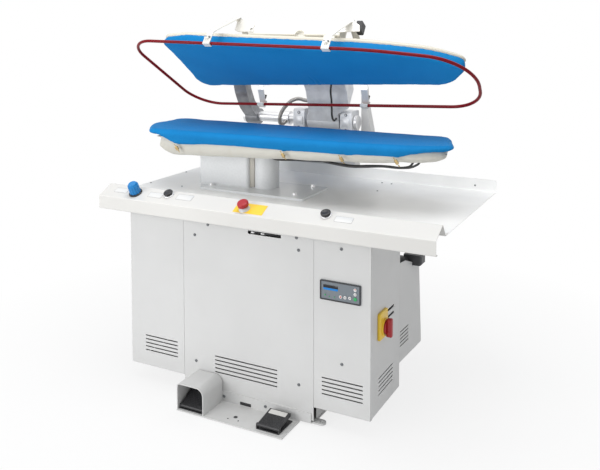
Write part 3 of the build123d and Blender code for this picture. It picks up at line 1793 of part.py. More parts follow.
# Vacuum unit: housing on the right inner wall, impeller, motor and air duct
housing_radius = 105
housing_depth = 78
housing_wall = 5
impeller_radius = 88
impeller_hub = 20
impeller_depth = 40
blade_count = 12
motor_radius = 72
motor_length = 118
fan_shaft_radius = 8
shaft_hole_radius = 9
outlet_width = 70
with BuildPart() as vacuum_housing:
    with BuildSketch(across(centre_right)):
        with Locations((fan_y, duct_height)):
            Circle(housing_radius)
        with Locations((fan_y + housing_radius, duct_height)):
            Rectangle(outlet_width, housing_radius + 35, align=(Align.MAX, Align.MAX))
    extrude(amount=housing_depth)
    with BuildSketch(across(centre_right + housing_wall)):
        with Locations((fan_y, duct_height)):
            Circle(housing_radius - housing_wall)
    extrude(amount=housing_depth - 2 * housing_wall, mode=Mode.SUBTRACT)
    with BuildSketch(across(centre_right)):
        with Locations((fan_y, duct_height)):
            Circle(duct_radius - wall)
    extrude(amount=housing_wall, mode=Mode.SUBTRACT)
    with BuildSketch(across(centre_right + housing_depth - housing_wall)):
        with Locations((fan_y, duct_height)):
            Circle(shaft_hole_radius)
    extrude(amount=housing_wall, mode=Mode.SUBTRACT)
vacuum_housing.part.label = "vacuum_housing"
export_step(vacuum_housing.part, "parts/vacuum_housing.step")

impeller_start = centre_right + housing_wall + 8
motor_start = centre_right + housing_depth
motor_bore = 30
with BuildPart() as vacuum_impeller:
    with BuildSketch(across(impeller_start)):
        with Locations((fan_y, duct_height)):
            Circle(impeller_hub)
            with PolarLocations((impeller_hub + impeller_radius) / 2, blade_count):
                Rectangle(impeller_radius - impeller_hub + 6, 3, rotation=12)
    extrude(amount=impeller_depth)
    with BuildSketch(across(impeller_start + impeller_depth)):
        with Locations((fan_y, duct_height)):
            Circle(impeller_radius)
    extrude(amount=3)
    with BuildSketch(across(impeller_start)):
        with Locations((fan_y, duct_height)):
            Circle(fan_shaft_radius)
    extrude(amount=motor_start + motor_bore - 1 - impeller_start)
vacuum_impeller.part.label = "vacuum_impeller"
export_step(vacuum_impeller.part, "parts/vacuum_impeller.step")

with BuildPart() as vacuum_motor:
    with BuildSketch(across(motor_start)):
        with Locations((fan_y, duct_height)):
            Circle(motor_radius)
    extrude(amount=motor_length)
    fillet(vacuum_motor.faces().sort_by(Axis.X)[-1].edges(), 14)
    with BuildSketch(across(motor_start)):
        with Locations((fan_y, duct_height)):
            Circle(fan_shaft_radius + running_fit)
    extrude(amount=motor_bore, mode=Mode.SUBTRACT)
    with BuildSketch(across(right_box_right - 30)):
        with Locations((terminal_y, terminal_bottom)):
            Rectangle(terminal_width, terminal_height, align=(Align.CENTER, Align.MIN))
    extrude(amount=68)
    fillet(vacuum_motor.faces().sort_by(Axis.X)[-1].edges(), 8)
vacuum_motor.part.label = "vacuum_motor"
export_step(vacuum_motor.part, "parts/vacuum_motor.step")

duct_route = [
    (pipe_x, pipe_y, table_height - sheet),
    (pipe_x, pipe_y, duct_height),
    (60, pipe_y, duct_height),
    (120, fan_y, duct_height),
    (centre_right, fan_y, duct_height),
]
duct_bend = 60
with BuildPart() as vacuum_duct:
    with BuildLine() as duct_path:
        FilletPolyline(*duct_route, radius=[duct_bend, duct_bend * 0.6, duct_bend * 0.6])
    with BuildSketch(level(table_height - sheet)):
        with Locations((pipe_x, pipe_y)):
            Circle(duct_radius)
            Circle(duct_radius - wall, mode=Mode.SUBTRACT)
    sweep(path=duct_path.line)
vacuum_duct.part.label = "vacuum_duct"
export_step(vacuum_duct.part, "parts/vacuum_duct.step")

# Valves and electrics
valve_x = centre_right - wall
valve_y = -240
valve_z = 500
with BuildPart() as valve_block:
    with Locations((valve_x, valve_y, valve_z)):
        Box(34, 180, 40, align=(Align.MAX, Align.CENTER, Align.CENTER))
    with Locations((valve_x - 17, valve_y - 60, valve_z + 20), (valve_x - 17, valve_y, valve_z + 20), (valve_x - 17, valve_y + 60, valve_z + 20)):
        Cylinder(14, 52, align=(Align.CENTER, Align.CENTER, Align.MIN))
    with BuildSketch(across(valve_x - 34)):
        with Locations((valve_y - 60, valve_z), (valve_y, valve_z), (valve_y + 60, valve_z)):
            Circle(9)
    extrude(amount=-14)
valve_block.part.label = "valve_block"
export_step(valve_block.part, "parts/valve_block.step")

with BuildPart() as electrical_box:
    with Locations((centre_right, -225, 510)):
        Box(168, 200, 330, align=(Align.MIN, Align.CENTER, Align.CENTER))
    fillet(electrical_box.edges().filter_by(Axis.Y), 8)
electrical_box.part.label = "electrical_box"
export_step(electrical_box.part, "parts/electrical_box.step")
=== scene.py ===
import bmesh
import bpy
from math import atan2, ceil, copysign, cos, exp, log, pi, radians, sin, tan
from mathutils import Matrix, Vector, noise


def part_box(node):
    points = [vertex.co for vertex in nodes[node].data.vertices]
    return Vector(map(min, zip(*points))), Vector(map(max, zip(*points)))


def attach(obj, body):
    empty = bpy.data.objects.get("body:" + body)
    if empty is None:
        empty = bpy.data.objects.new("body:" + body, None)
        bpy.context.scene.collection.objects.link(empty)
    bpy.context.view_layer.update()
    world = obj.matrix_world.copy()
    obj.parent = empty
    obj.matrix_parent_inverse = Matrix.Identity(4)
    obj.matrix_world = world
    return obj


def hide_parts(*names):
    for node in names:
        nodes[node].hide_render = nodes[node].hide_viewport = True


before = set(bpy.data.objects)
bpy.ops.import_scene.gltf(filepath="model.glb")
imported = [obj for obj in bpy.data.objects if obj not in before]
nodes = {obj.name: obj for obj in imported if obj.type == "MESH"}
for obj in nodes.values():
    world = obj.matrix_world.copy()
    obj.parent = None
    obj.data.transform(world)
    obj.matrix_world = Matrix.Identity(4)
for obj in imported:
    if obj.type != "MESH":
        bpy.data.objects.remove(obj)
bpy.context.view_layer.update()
print("frame loaded:", len(nodes), "nodes")

mm = 0.001  # the part's drawings are in millimetres, Blender is in metres


# shader maths


def reckoned(operation):
    # a Python operator and its reflected form, each of which adds a Math node
    def plain(first, second):
        return first.owner.node("ShaderNodeMath", {"operation": operation}, {0: first, 1: second})

    def reflected(second, first):
        return second.owner.node("ShaderNodeMath", {"operation": operation}, {0: first, 1: second})

    return plain, reflected


class Sock:
    # wraps one output socket, so that shader maths reads as plain sums
    __add__, __radd__ = reckoned("ADD")
    __sub__, __rsub__ = reckoned("SUBTRACT")
    __mul__, __rmul__ = reckoned("MULTIPLY")
    __truediv__, __rtruediv__ = reckoned("DIVIDE")

    def __init__(self, owner, socket):
        self.owner = owner
        self.socket = socket

    def held(self):
        # kept between 0 and 1
        settings = {"operation": "ADD", "use_clamp": True}
        return self.owner.node("ShaderNodeMath", settings, {0: self, 1: 0.0})


class NodeTree:
    # the nodes of one material, or of the world
    def __init__(self, tree):
        self.tree = tree

    def feed(self, target, value):
        # a socket is linked; a number, or a colour of three numbers, is written in
        if isinstance(value, Sock):
            self.tree.links.new(value.socket, target)
        else:
            target.default_value = (*value, 1) if target.type == "RGBA" else value

    def node(self, kind, settings=None, inputs=None, output=0):
        made = self.tree.nodes.new(kind)
        for key, value in (settings or {}).items():
            setattr(made, key, value)
        for key, value in (inputs or {}).items():
            self.feed(made.inputs[key], value)
        return Sock(self, made.outputs[output])

    def background(self):
        # 1 for the camera, and for metal and glass, which show the white background too
        camera = self.node("ShaderNodeLightPath", output="Is Camera Ray")
        gloss = self.node("ShaderNodeLightPath", output="Is Glossy Ray")
        clear = self.node("ShaderNodeLightPath", output="Is Transmission Ray")
        return (camera + gloss + clear).held()

    def blend(self, share, first, second, end):
        # mixes two shaders into the last node of the tree
        mixed = self.node("ShaderNodeMixShader", {}, {0: share, 1: first, 2: second})
        self.feed(self.tree.nodes[end].inputs["Surface"], mixed)


class Finish(NodeTree):
    # one material round a Principled BSDF
    def __init__(self, name, colour, roughness, metallic=0.0, **constants):
        self.material = bpy.data.materials.new(name)
        self.material.use_nodes = True
        super().__init__(self.material.node_tree)
        self.shader = self.tree.nodes["Principled BSDF"]
        self.set("Base Color", colour)
        self.set("Roughness", roughness)
        self.set("Metallic", metallic)
        for key, value in constants.items():
            self.set(key, value)

    def set(self, socketName, value):
        self.feed(self.shader.inputs[socketName], value)

    def place(self, stretch=(1, 1, 1)):
        # the point on the piece in metres, stretched for grain that runs one way
        point = self.node("ShaderNodeTexCoord", output="Object")
        return self.node("ShaderNodeMapping", {}, {"Vector": point, "Scale": stretch})

    def noise(self, size, detail=3.0, rough=0.5, stretch=(1, 1, 1)):
        # size is that of one blot, in millimetres
        inputs = {"Vector": self.place(stretch), "Scale": 1 / (size * mm)}
        inputs.update({"Detail": detail, "Roughness": rough})
        return self.node("ShaderNodeTexNoise", {}, inputs)

    def cells(self, size, feature="F1", output=0):
        inputs = {"Vector": self.place(), "Scale": 1 / (size * mm)}
        return self.node("ShaderNodeTexVoronoi", {"feature": feature}, inputs, output)

    def wave(self, direction, scale):
        inputs = {"Vector": self.place(), "Scale": scale}
        return self.node("ShaderNodeTexWave", {"bands_direction": direction}, inputs)

    def axis(self, name):
        point = self.node("ShaderNodeTexCoord", output="Object")
        return self.node("ShaderNodeSeparateXYZ", {}, {0: point}, output=name)

    def step(self, value, low, high):
        # 0 below low, 1 above high
        inputs = {"Value": value, "From Min": low, "From Max": high}
        return self.node("ShaderNodeMapRange", {"clamp": True}, inputs)

    def mix(self, share, first, second):
        inputs = {0: share, 6: first, 7: second}
        return self.node("ShaderNodeMix", {"data_type": "RGBA"}, inputs, output=2)

    def tone(self, share, colour, first, second):
        # the colour times first where share is 0, times second where it is 1
        return self.mix(share, shade(colour, first), shade(colour, second))

    def dress(self, colour, roughness, relief, depth, strength=1.0):
        # depth is the real height of the relief, in millimetres
        self.set("Base Color", colour)
        self.set("Roughness", roughness)
        inputs = {"Strength": strength, "Distance": depth * mm, "Height": relief}
        self.set("Normal", self.node("ShaderNodeBump", {}, inputs))
        return self


def shade(colour, factor):
    return tuple(channel * factor for channel in colour)


def paint(name, colour, roughness, peel=0.03, grime=0.94):
    # sprayed and baked paint: orange peel, faint cloudiness and handled patches
    finish = Finish(name, colour, roughness)
    cloud = finish.noise(260, 3)
    rubbed = finish.step(finish.noise(70, 5, 0.62), 0.5, 0.74)
    tint = finish.tone(finish.step(cloud, 0.3, 0.72), colour, grime, 1)
    tint = finish.mix(rubbed * 0.35, tint, shade(colour, 0.96))
    gloss = roughness + cloud * 0.06 + rubbed * 0.09 - 0.03
    return finish.dress(tint, gloss, finish.noise(2.2, 2), peel)


def cabinetPaint():
    look = {"colour": (0.645, 0.645, 0.64), "dust": (0.5, 0.49, 0.47), "dustTop": 0.16}
    finish = paint("cabinetPaint", look["colour"], 0.4)
    low = 1 - finish.step(finish.axis("Z"), 0.0, look["dustTop"])
    dirt = low * finish.step(finish.noise(38, 5, 0.65), 0.42, 0.72)
    clean = Sock(finish, finish.shader.inputs["Base Color"].links[0].from_socket)
    finish.set("Base Color", finish.mix(dirt * 0.3, clean, look["dust"]))
    return finish


def tableSteel():
    # satin sheet with the long grain of its rolling
    colour = (0.88, 0.88, 0.87)
    finish = Finish("tableSteel", colour, 0.32, 0.2)
    grain = finish.noise(3, 3, 0.6, stretch=(0.03, 1, 1))
    cloud = finish.noise(190, 3)
    tint = finish.tone(finish.step(cloud, 0.3, 0.7), colour, 0.93, 1.04)
    return finish.dress(tint, 0.3 + grain * 0.12 + cloud * 0.08, grain, 0.02)


def pedestalPaint():
    # hammered enamel: shallow dimples a few millimetres across
    colour = (0.74, 0.755, 0.77)
    finish = Finish("pedestalPaint", colour, 0.36, **{"Coat Weight": 0.3, "Coat Roughness": 0.2})
    dimple = finish.step(finish.cells(7, "SMOOTH_F1"), 0.05, 0.6)
    tint = finish.tone(dimple, colour, 0.975, 1.02)
    return finish.dress(tint, 0.3 + finish.noise(90, 3) * 0.16, dimple, 0.14, 0.5)


def castingCream():
    # enamelled sand casting: fine grain and a few low swells
    colour = (0.68, 0.645, 0.55)
    finish = Finish("castingCream", colour, 0.4)
    grain = finish.noise(2.6, 4, 0.6)
    swell = finish.noise(48, 2)
    stain = finish.step(finish.noise(60, 5, 0.6), 0.5, 0.78)
    tint = finish.tone(stain * 0.5, colour, 1, 0.86)
    return finish.dress(tint, 0.34 + grain * 0.14, grain * 0.3 + swell, 0.5)


def castGrey():
    # aluminium-grey paint over a rough casting
    colour = (0.78, 0.79, 0.81)
    finish = Finish("castGrey", colour, 0.42, 0.3)
    grain = finish.noise(2, 4, 0.65)
    swell = finish.noise(36, 3)
    tint = finish.tone(finish.step(swell, 0.3, 0.75), colour, 0.86, 1.06)
    return finish.dress(tint, 0.34 + grain * 0.2, grain * 0.25 + swell, 0.7)


def bareMetal(name, colour, roughness, grainStretch=(1, 1, 1), stain=0.85):
    # machined or plated metal: fine tool marks and a little staining
    finish = Finish(name, colour, roughness, 1.0)
    grain = finish.noise(1.6, 2, 0.55, stretch=grainStretch)
    patch = finish.step(finish.noise(26, 4, 0.6), 0.4, 0.75)
    tint = finish.tone(patch, colour, 1, stain)
    return finish.dress(tint, roughness - 0.05 + grain * 0.12 + patch * 0.08, grain, 0.015)


def neckGrey():
    # the bent arm is bare cast metal, darker than the painted castings
    colour = (0.27, 0.275, 0.29)
    finish = Finish("neckGrey", colour, 0.4, 0.75)
    grain = finish.noise(2, 4, 0.65)
    cloud = finish.step(finish.noise(55, 4, 0.6), 0.35, 0.72)
    tint = finish.tone(cloud, colour, 0.7, 1.15)
    return finish.dress(tint, 0.3 + grain * 0.22, grain * 0.3 + cloud, 0.5)


def headLines():
    # steel-braided steam hose at the left of split, black rubber cable at the right
    look = {"steel": (0.36, 0.345, 0.33), "rubber": (0.02, 0.02, 0.022), "split": -0.09}
    finish = Finish("headLines", look["steel"], 0.4)
    rubber = finish.step(finish.axis("X"), look["split"] - mm, look["split"])
    braid = finish.wave("DIAGONAL", 130)
    woven = finish.tone(braid, look["steel"], 0.55, 1.3)
    finish.set("Metallic", (1 - rubber) * 0.7)
    tint = finish.mix(rubber, woven, look["rubber"])
    return finish.dress(tint, 0.34 + braid * 0.14, braid * (1 - rubber), 0.4)


def strapMetal():
    # zinc strip under thin cream lacquer
    colour = (0.79, 0.78, 0.745)
    finish = Finish("strapMetal", colour, 0.36, 0.25)
    rubbed = finish.step(finish.noise(24, 4, 0.6), 0.46, 0.74)
    tint = finish.tone(rubbed * 0.5, colour, 1, 0.86)
    return finish.dress(tint, 0.3 + rubbed * 0.14, finish.noise(2, 2), 0.02)


def ductZinc():
    # galvanised sheet: flakes of zinc, each with its own shade
    colour = (0.6, 0.62, 0.64)
    finish = Finish("ductZinc", colour, 0.38, 0.85)
    flake = finish.cells(1000 / 55, output="Color")  # 55 to a metre
    grey = finish.node("ShaderNodeRGBToBW", {}, {0: flake})
    return finish.dress(finish.tone(grey, colour, 0.72, 1.12), 0.28 + grey * 0.22, grey, 0.02)


def clothWeave(finish, pitch, swell):
    # plain weave: threads that cross each other in turn, seen on every face of the pad
    across, along, upward = [finish.wave(direction, 0.314 / (pitch * mm)) for direction in "XYZ"]
    thread = (across + along + upward) / 3
    return thread, thread + finish.noise(14, 3) * swell


def blueCloth():
    # worn heat-proof polyester: slightly lighter where the nap is rubbed
    look = {"colour": (0.009, 0.21, 0.52), "rubbed": (0.02, 0.26, 0.58), "deep": (0.006, 0.17, 0.44)}
    finish = Finish("blueCloth", look["colour"], 0.62, **{"Specular IOR Level": 0.12, "IOR": 1.35})
    thread, relief = clothWeave(finish, 1.1, 0.7)
    cloud = finish.step(finish.noise(120, 4, 0.55), 0.35, 0.7)
    speck = finish.step(finish.noise(3.4, 2, 0.6), 0.42, 0.66)
    tint = finish.mix(cloud * 0.55, look["colour"], look["deep"])
    tint = finish.mix(speck * 0.24, tint, look["rubbed"])
    return finish.dress(finish.mix(thread * 0.2, tint, look["deep"]), 0.56 + thread * 0.16, relief, 0.12)


def creamCloth():
    look = {"colour": (0.62, 0.605, 0.55), "aged": (0.5, 0.47, 0.4)}
    finish = Finish("creamCloth", look["colour"], 0.8, **{"Sheen Weight": 0.2, "Sheen Roughness": 0.5})
    thread, relief = clothWeave(finish, 1.4, 0.8)
    stain = finish.step(finish.noise(85, 5, 0.6), 0.46, 0.76)
    tint = finish.mix(stain * 0.4, look["colour"], look["aged"])
    tint = finish.mix(thread * 0.16, tint, shade(look["colour"], 0.8))
    return finish.dress(tint, 0.74 + thread * 0.16, relief, 0.16)


def ringRed():
    # thick glossy dip coating over the tube, duller where hands hold it
    look = {"colour": (0.19, 0.0015, 0.007), "worn": (0.14, 0.002, 0.007)}
    coating = {"Coat Weight": 0.03, "Coat Roughness": 0.2, "Specular IOR Level": 0.14}
    finish = Finish("ringRed", look["colour"], 0.4, **coating)
    worn = finish.step(finish.noise(42, 5, 0.6), 0.5, 0.75)
    tint = finish.mix(worn * 0.5, look["colour"], look["worn"])
    return finish.dress(tint, 0.32 + worn * 0.16, finish.noise(6, 3), 0.06)


def hoseBlack():
    # rubber hose with a braid pressed into it
    look = {"colour": (0.03, 0.031, 0.033), "dust": (0.11, 0.11, 0.112)}
    finish = Finish("hoseBlack", look["colour"], 0.46)
    braid = finish.wave("DIAGONAL", 90)
    dust = finish.step(finish.noise(18, 4, 0.6), 0.45, 0.75)
    tint = finish.mix(dust * 0.35, look["colour"], look["dust"])
    return finish.dress(tint, 0.4 + dust * 0.2, braid, 0.25, 0.6)


def plastic(name, colour, roughness, depth=0.05, rub=1.25):
    # moulded plastic with a fine spark-eroded skin
    finish = Finish(name, colour, roughness)
    skin = finish.noise(0.9, 2)
    rubbed = finish.step(finish.noise(22, 4, 0.6), 0.48, 0.74)
    tint = finish.tone(rubbed * 0.4, colour, 1, rub)
    return finish.dress(tint, roughness + skin * 0.08 - rubbed * 0.08, skin, depth)


finishes = {
    "cabinet_paint": cabinetPaint(),
    "console_paint": paint("consolePaint", (0.7, 0.69, 0.665), 0.33, peel=0.02),
    "table_steel": tableSteel(),
    "pedestal_paint": pedestalPaint(),
    "casting_cream": castingCream(),
    "cast_grey": castGrey(),
    "shaft_steel": bareMetal("shaftSteel", (0.8, 0.8, 0.81), 0.42, (1, 0.05, 0.05), 0.94),
    "crossbar_paint": paint("crossbarPaint", (0.86, 0.845, 0.79), 0.3, peel=0.02, grime=0.93),
    "blue_cloth": blueCloth(),
    "cream_cloth": creamCloth(),
    "ring_red": ringRed(),
    "strap_metal": strapMetal(),
    "spring_brass": bareMetal("springBrass", (0.62, 0.47, 0.24), 0.28, stain=0.6),
    "hose_black": hoseBlack(),
    "black_plastic": plastic("blackPlastic", (0.018, 0.018, 0.02), 0.42, rub=2.2),
    "knob_blue": plastic("knobBlue", (0.004, 0.2, 0.52), 0.34, rub=1.3),
    "stop_red": plastic("stopRed", (0.4, 0.012, 0.018), 0.28, 0.02, 0.9),
    "safety_yellow": plastic("safetyYellow", (0.9, 0.6, 0.045), 0.34, 0.02, 0.95),
    "display_grey": plastic("displayGrey", (0.175, 0.2, 0.225), 0.42, 0.03, 1.1),
    "screw_zinc": bareMetal("screwZinc", (0.2, 0.21, 0.22), 0.34, stain=0.7),
    "barrel_alu": bareMetal("barrelAlu", (0.72, 0.73, 0.74), 0.3, (0.1, 0.1, 1), 0.92),
    "boiler_steel": bareMetal("boilerSteel", (0.5, 0.49, 0.47), 0.36, (1, 0.1, 0.1), 0.78),
    "machine_grey": paint("machineGrey", (0.05, 0.052, 0.056), 0.44, peel=0.05, grime=0.85),
    "duct_zinc": ductZinc(),
    "valve_brass": bareMetal("valveBrass", (0.6, 0.43, 0.2), 0.34, stain=0.66),
}
for nodeName, node in nodes.items():
    for holder in node.material_slots:
        holder.material = finishes[holder.material.name.split(".")[0]].material
for nodeName, finish in (("swan_neck_arm", neckGrey()), ("head_lines", headLines())):
    for holder in nodes[nodeName].material_slots:
        holder.material = finish.material
print("finishes made:", len(finishes))


def addPiece(name, shape, slotName, body="frame_body", finish=None):
    # turns a bmesh into a piece that wears a finish and moves with a body
    bmesh.ops.recalc_face_normals(shape, faces=shape.faces)
    mesh = bpy.data.meshes.new(name)
    shape.to_mesh(mesh)
    shape.free()
    mesh.polygons.foreach_set("use_smooth", [True] * len(mesh.polygons))
    mesh.materials.append((finish or finishes[slotName]).material)
    piece = bpy.data.objects.new(name, mesh)
    bpy.context.scene.collection.objects.link(piece)
    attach(piece, body)
    return piece


def bridge(shape, rings, caps=True):
    # joins rings of equally many points, in millimetres, into a skin
    layers = [[shape.verts.new(Vector(point) * mm) for point in ring] for ring in rings]
    count = len(layers[0])
    for lower, upper in zip(layers, layers[1:]):
        for k in range(count):
            after = (k + 1) % count
            shape.faces.new((lower[k], lower[after], upper[after], upper[k]))
    if caps:
        shape.faces.new(layers[0][::-1])
        shape.faces.new(layers[-1])
    return layers


def tubeAlong(shape, points, radius, sides):
    # a round wire that follows points without twisting
    turns = [2 * pi * side / sides for side in range(sides)]
    sideways = None
    rings = []
    for k, point in enumerate(points):
        ahead = (points[min(k + 1, len(points) - 1)] - points[max(k - 1, 0)]).normalized()
        if sideways is None:
            sideways = ahead.orthogonal().normalized()
        sideways = (sideways - ahead * sideways.dot(ahead)).normalized()
        lift = ahead.cross(sideways)
        rings.append([point + (sideways * cos(turn) + lift * sin(turn)) * radius for turn in turns])
    bridge(shape, rings)


def turned(shape, profile, place, axis, sides=28, hexagon=()):
    # revolves (radius, height) pairs about an axis; rings numbered in hexagon are six-sided
    axis = Vector(axis).normalized()
    sideways = axis.orthogonal().normalized()
    lift = axis.cross(sideways)
    rings = []
    for index, (radius, height) in enumerate(profile):
        middle = Vector(place) + axis * height
        ring = []
        for side in range(sides):
            turn = 2 * pi * side / sides
            reach = radius
            if index in hexagon:
                reach = radius * cos(pi / 6) / cos(turn % (pi / 3) - pi / 6)
            ring.append(middle + (sideways * cos(turn) + lift * sin(turn)) * reach)
        rings.append(ring)
    bridge(shape, rings)


# across, upward and outward, for things that sit on the front and on the right side
facingFront = ((1, 0, 0), (0, 0, 1), (0, -1, 0))
facingRight = ((0, 1, 0), (0, 0, 1), (1, 0, 0))


def roundedRing(centre, facing, size, corner, inset, level, arcs):
    # a rectangle with round corners, drawn in by inset and raised by level
    across, upward, outward = [Vector(axis) for axis in facing]
    bend = max(corner - inset, 0.3)
    ring = []
    for signX, signY, start in ((1, 1, 0), (-1, 1, 90), (-1, -1, 180), (1, -1, 270)):
        for k in range(arcs + 1):
            turn = radians(start + 90 * k / arcs)
            u = signX * (size[0] / 2 - inset - bend) + bend * cos(turn)
            v = signY * (size[1] / 2 - inset - bend) + bend * sin(turn)
            ring.append(Vector(centre) + across * u + upward * v + outward * level)
    return ring


def roundedBlock(shape, centre, facing, size, corner, edge, arcs=4):
    # a low block with rounded corners and a softened top edge, standing on its back face
    depth = size[2]
    steps = ((0, 0), (0, depth - edge), (edge * 0.3, depth - edge * 0.3), (edge, depth))
    bridge(shape, [roundedRing(centre, facing, size, corner, *step, arcs) for step in steps])


def frameRing(shape, centre, facing, size, corner, width, depth):
    # a slim frame round a rounded window
    shoulder = depth * 0.7
    rise = [(0, 0), (0, shoulder), (width * 0.2, depth)]
    fall = [(width * 0.8, depth), (width, shoulder), (width, 0)]
    rings = [roundedRing(centre, facing, size, corner, *step, 4) for step in rise + fall]
    layers = bridge(shape, rings, caps=False)
    inner, outer = layers[-1], layers[0]
    for k in range(len(outer)):
        after = (k + 1) % len(outer)
        shape.faces.new((inner[k], inner[after], outer[after], outer[k]))


# the outlines of the two pads: the head's, and the buck's with its rounder ends
pad = {
    "corners": [(-568, -288), (304, -252), (531, -212), (645, -144), (558, -19), (-578, 78)],
    "radii": [22, 1500, 360, 30, 140, 66],
    "arcSteps": [5, 9, 8, 5, 10, 9],
}
buckPad = {
    "corners": [
        (-552, -291), (304, -252), (520, -216), (634, -150), (556, 72), (-641, 62), (-651, -150),
    ],
    "radii": [44, 1500, 360, 34, 66, 62, 150],
    "arcSteps": [6, 9, 8, 5, 8, 10, 6],
}
pointPitch = 15
hinge = {"y": 308, "z": 948, "open": radians(34)}
springPlaces = (-414, 34, 257, 447)


def drawnIn(corners, distance):
    points = [Vector(corner) for corner in corners]
    moved = []
    for index, point in enumerate(points):
        arriving = (point - points[index - 1]).normalized()
        leaving = (points[(index + 1) % len(points)] - point).normalized()
        sideways = Vector((-arriving.y - leaving.y, arriving.x + leaving.x))
        moved.append(point + sideways * distance / (1 + arriving.dot(leaving)))
    return moved


def padRing(inset, outline=pad):
    # the outline, drawn in by inset, always with the same number of points
    corners = drawnIn(outline["corners"], inset)
    arcs = []
    for index, corner in enumerate(corners):
        arriving = (corner - corners[index - 1]).normalized()
        leaving = (corners[(index + 1) % len(corners)] - corner).normalized()
        turn = atan2(arriving.x * leaving.y - arriving.y * leaving.x, arriving.dot(leaving))
        radius = max(outline["radii"][index] - inset, 6)
        start = corner - arriving * radius * tan(turn / 2)
        centre = start + Vector((-arriving.y, arriving.x)) * radius
        steps = outline["arcSteps"][index]
        turns = [Matrix.Rotation(turn * k / steps, 2) for k in range(steps + 1)]
        arcs.append([centre + part @ (start - centre) for part in turns])
    ring = []
    for index, arc in enumerate(arcs):
        nextArc = arcs[(index + 1) % len(arcs)]
        nearby = Vector(outline["corners"][(index + 1) % len(arcs)]) - Vector(outline["corners"][index])
        steps = ceil(nearby.length / pointPitch)
        ring += arc + [arc[-1].lerp(nextArc[0], k / steps) for k in range(1, steps)]
    return ring


def headPoint(x, y, h):
    # from the closed head's own sizes to where the open head stands
    turn = hinge["open"]
    back = y - hinge["y"]
    forward = back * cos(turn) + h * sin(turn)
    return Vector((x, hinge["y"] + forward, hinge["z"] - back * sin(turn) + h * cos(turn)))


def headwise(x, y, h):
    # a direction given in the closed head's own sizes
    return headPoint(x, y, h) - headPoint(0, 0, 0)


def closedPoint(point):
    # the other way round: x and y as closed, and height above the pivot
    turn = hinge["open"]
    back = point.y - hinge["y"]
    up = point.z - hinge["z"]
    forward = back * cos(turn) - up * sin(turn)
    return Vector((point.x, hinge["y"] + forward, back * sin(turn) + up * cos(turn)))


def frontEdge(x):
    # y of the buck's front edge at x
    corners = buckPad["corners"]
    for (leftX, leftY), (rightX, rightY) in zip(corners, corners[1:4]):
        if x <= rightX:
            break
    return leftY + (x - leftX) * (rightY - leftY) / (rightX - leftX)


def between(value, start, end):
    # 0 up to start, 1 from end on
    return min(max((value - start) / (end - start), 0), 1)


covers = {"voxel": 6, "quickVoxel": 10, "pressure": 4, "firm": 15, "bend": 0.6, "frames": 20, "seed": 7}


def bake(piece):
    # keeps what the modifiers make, and removes them
    graph = bpy.context.evaluated_depsgraph_get()
    graph.update()
    made = bpy.data.meshes.new_from_object(piece.evaluated_get(graph))
    old = piece.data
    piece.modifiers.clear()
    piece.data = made
    made.name = old.name
    bpy.data.meshes.remove(old)


def stuffed(piece, cap):
    # blows the cover up a little, by no more than cap, as foam under tight cloth does
    remesh = piece.modifiers.new("remesh", "REMESH")
    remesh.mode = "VOXEL"
    remesh.voxel_size = covers["voxel"] * mm
    remesh.use_smooth_shade = True
    bake(piece)
    start = [vertex.co.copy() for vertex in piece.data.vertices]
    cloth = piece.modifiers.new("cloth", "CLOTH")
    settings = cloth.settings
    settings.use_pressure = True
    settings.uniform_pressure_force = covers["pressure"]
    settings.tension_stiffness = covers["firm"]
    settings.compression_stiffness = covers["firm"]
    settings.bending_stiffness = covers["bend"]
    settings.quality = 4
    settings.effector_weights.gravity = 0
    cloth.collision_settings.use_collision = False
    cloth.point_cache.frame_start = 1
    cloth.point_cache.frame_end = covers["frames"]
    for step in range(1, covers["frames"] + 1):
        bpy.context.scene.frame_set(step)
    bake(piece)
    for vertex, before in zip(piece.data.vertices, start):
        move = vertex.co - before
        if move.length > cap * mm:
            vertex.co = before + move.normalized() * cap * mm
    bpy.context.scene.frame_set(1)
    smooth = piece.modifiers.new("relax", "SMOOTH")
    smooth.factor = 0.5
    smooth.iterations = 4
    finer = piece.modifiers.new("finer", "SUBSURF")
    finer.levels = 1
    finer.render_levels = 1
    bake(piece)
    piece.data.polygons.foreach_set("use_smooth", [True] * len(piece.data.polygons))


def bell(distance, width):
    # 1 at the middle, falling smoothly to nothing a few widths away
    return exp(-((distance / width) ** 2))


def wander(x, y, z, size):
    # smooth bumps, each about size across
    return noise.noise(Vector((x / size, y / size, z / size + covers["seed"])))


def shifted(piece, shift):
    # shifts every point by what shift gives for its place in millimetres
    normals = [vertex.normal.copy() for vertex in piece.data.vertices]
    for vertex, normal in zip(piece.data.vertices, normals):
        vertex.co += shift(vertex.co / mm, normal) * mm
    piece.data.update()


def eased(value, limit, give=0.7):
    # bends smoothly into the limit and stays under it
    spare = (limit - value) / give
    return value if spare > 30 else limit - give * log(1 + exp(spare))


def tipDroop(x):
    # the rim of the head comes down toward its left end
    look = {"fall": 14, "start": 455, "end": 565}
    return look["fall"] * between(-x, look["start"], look["end"]) ** 1.5


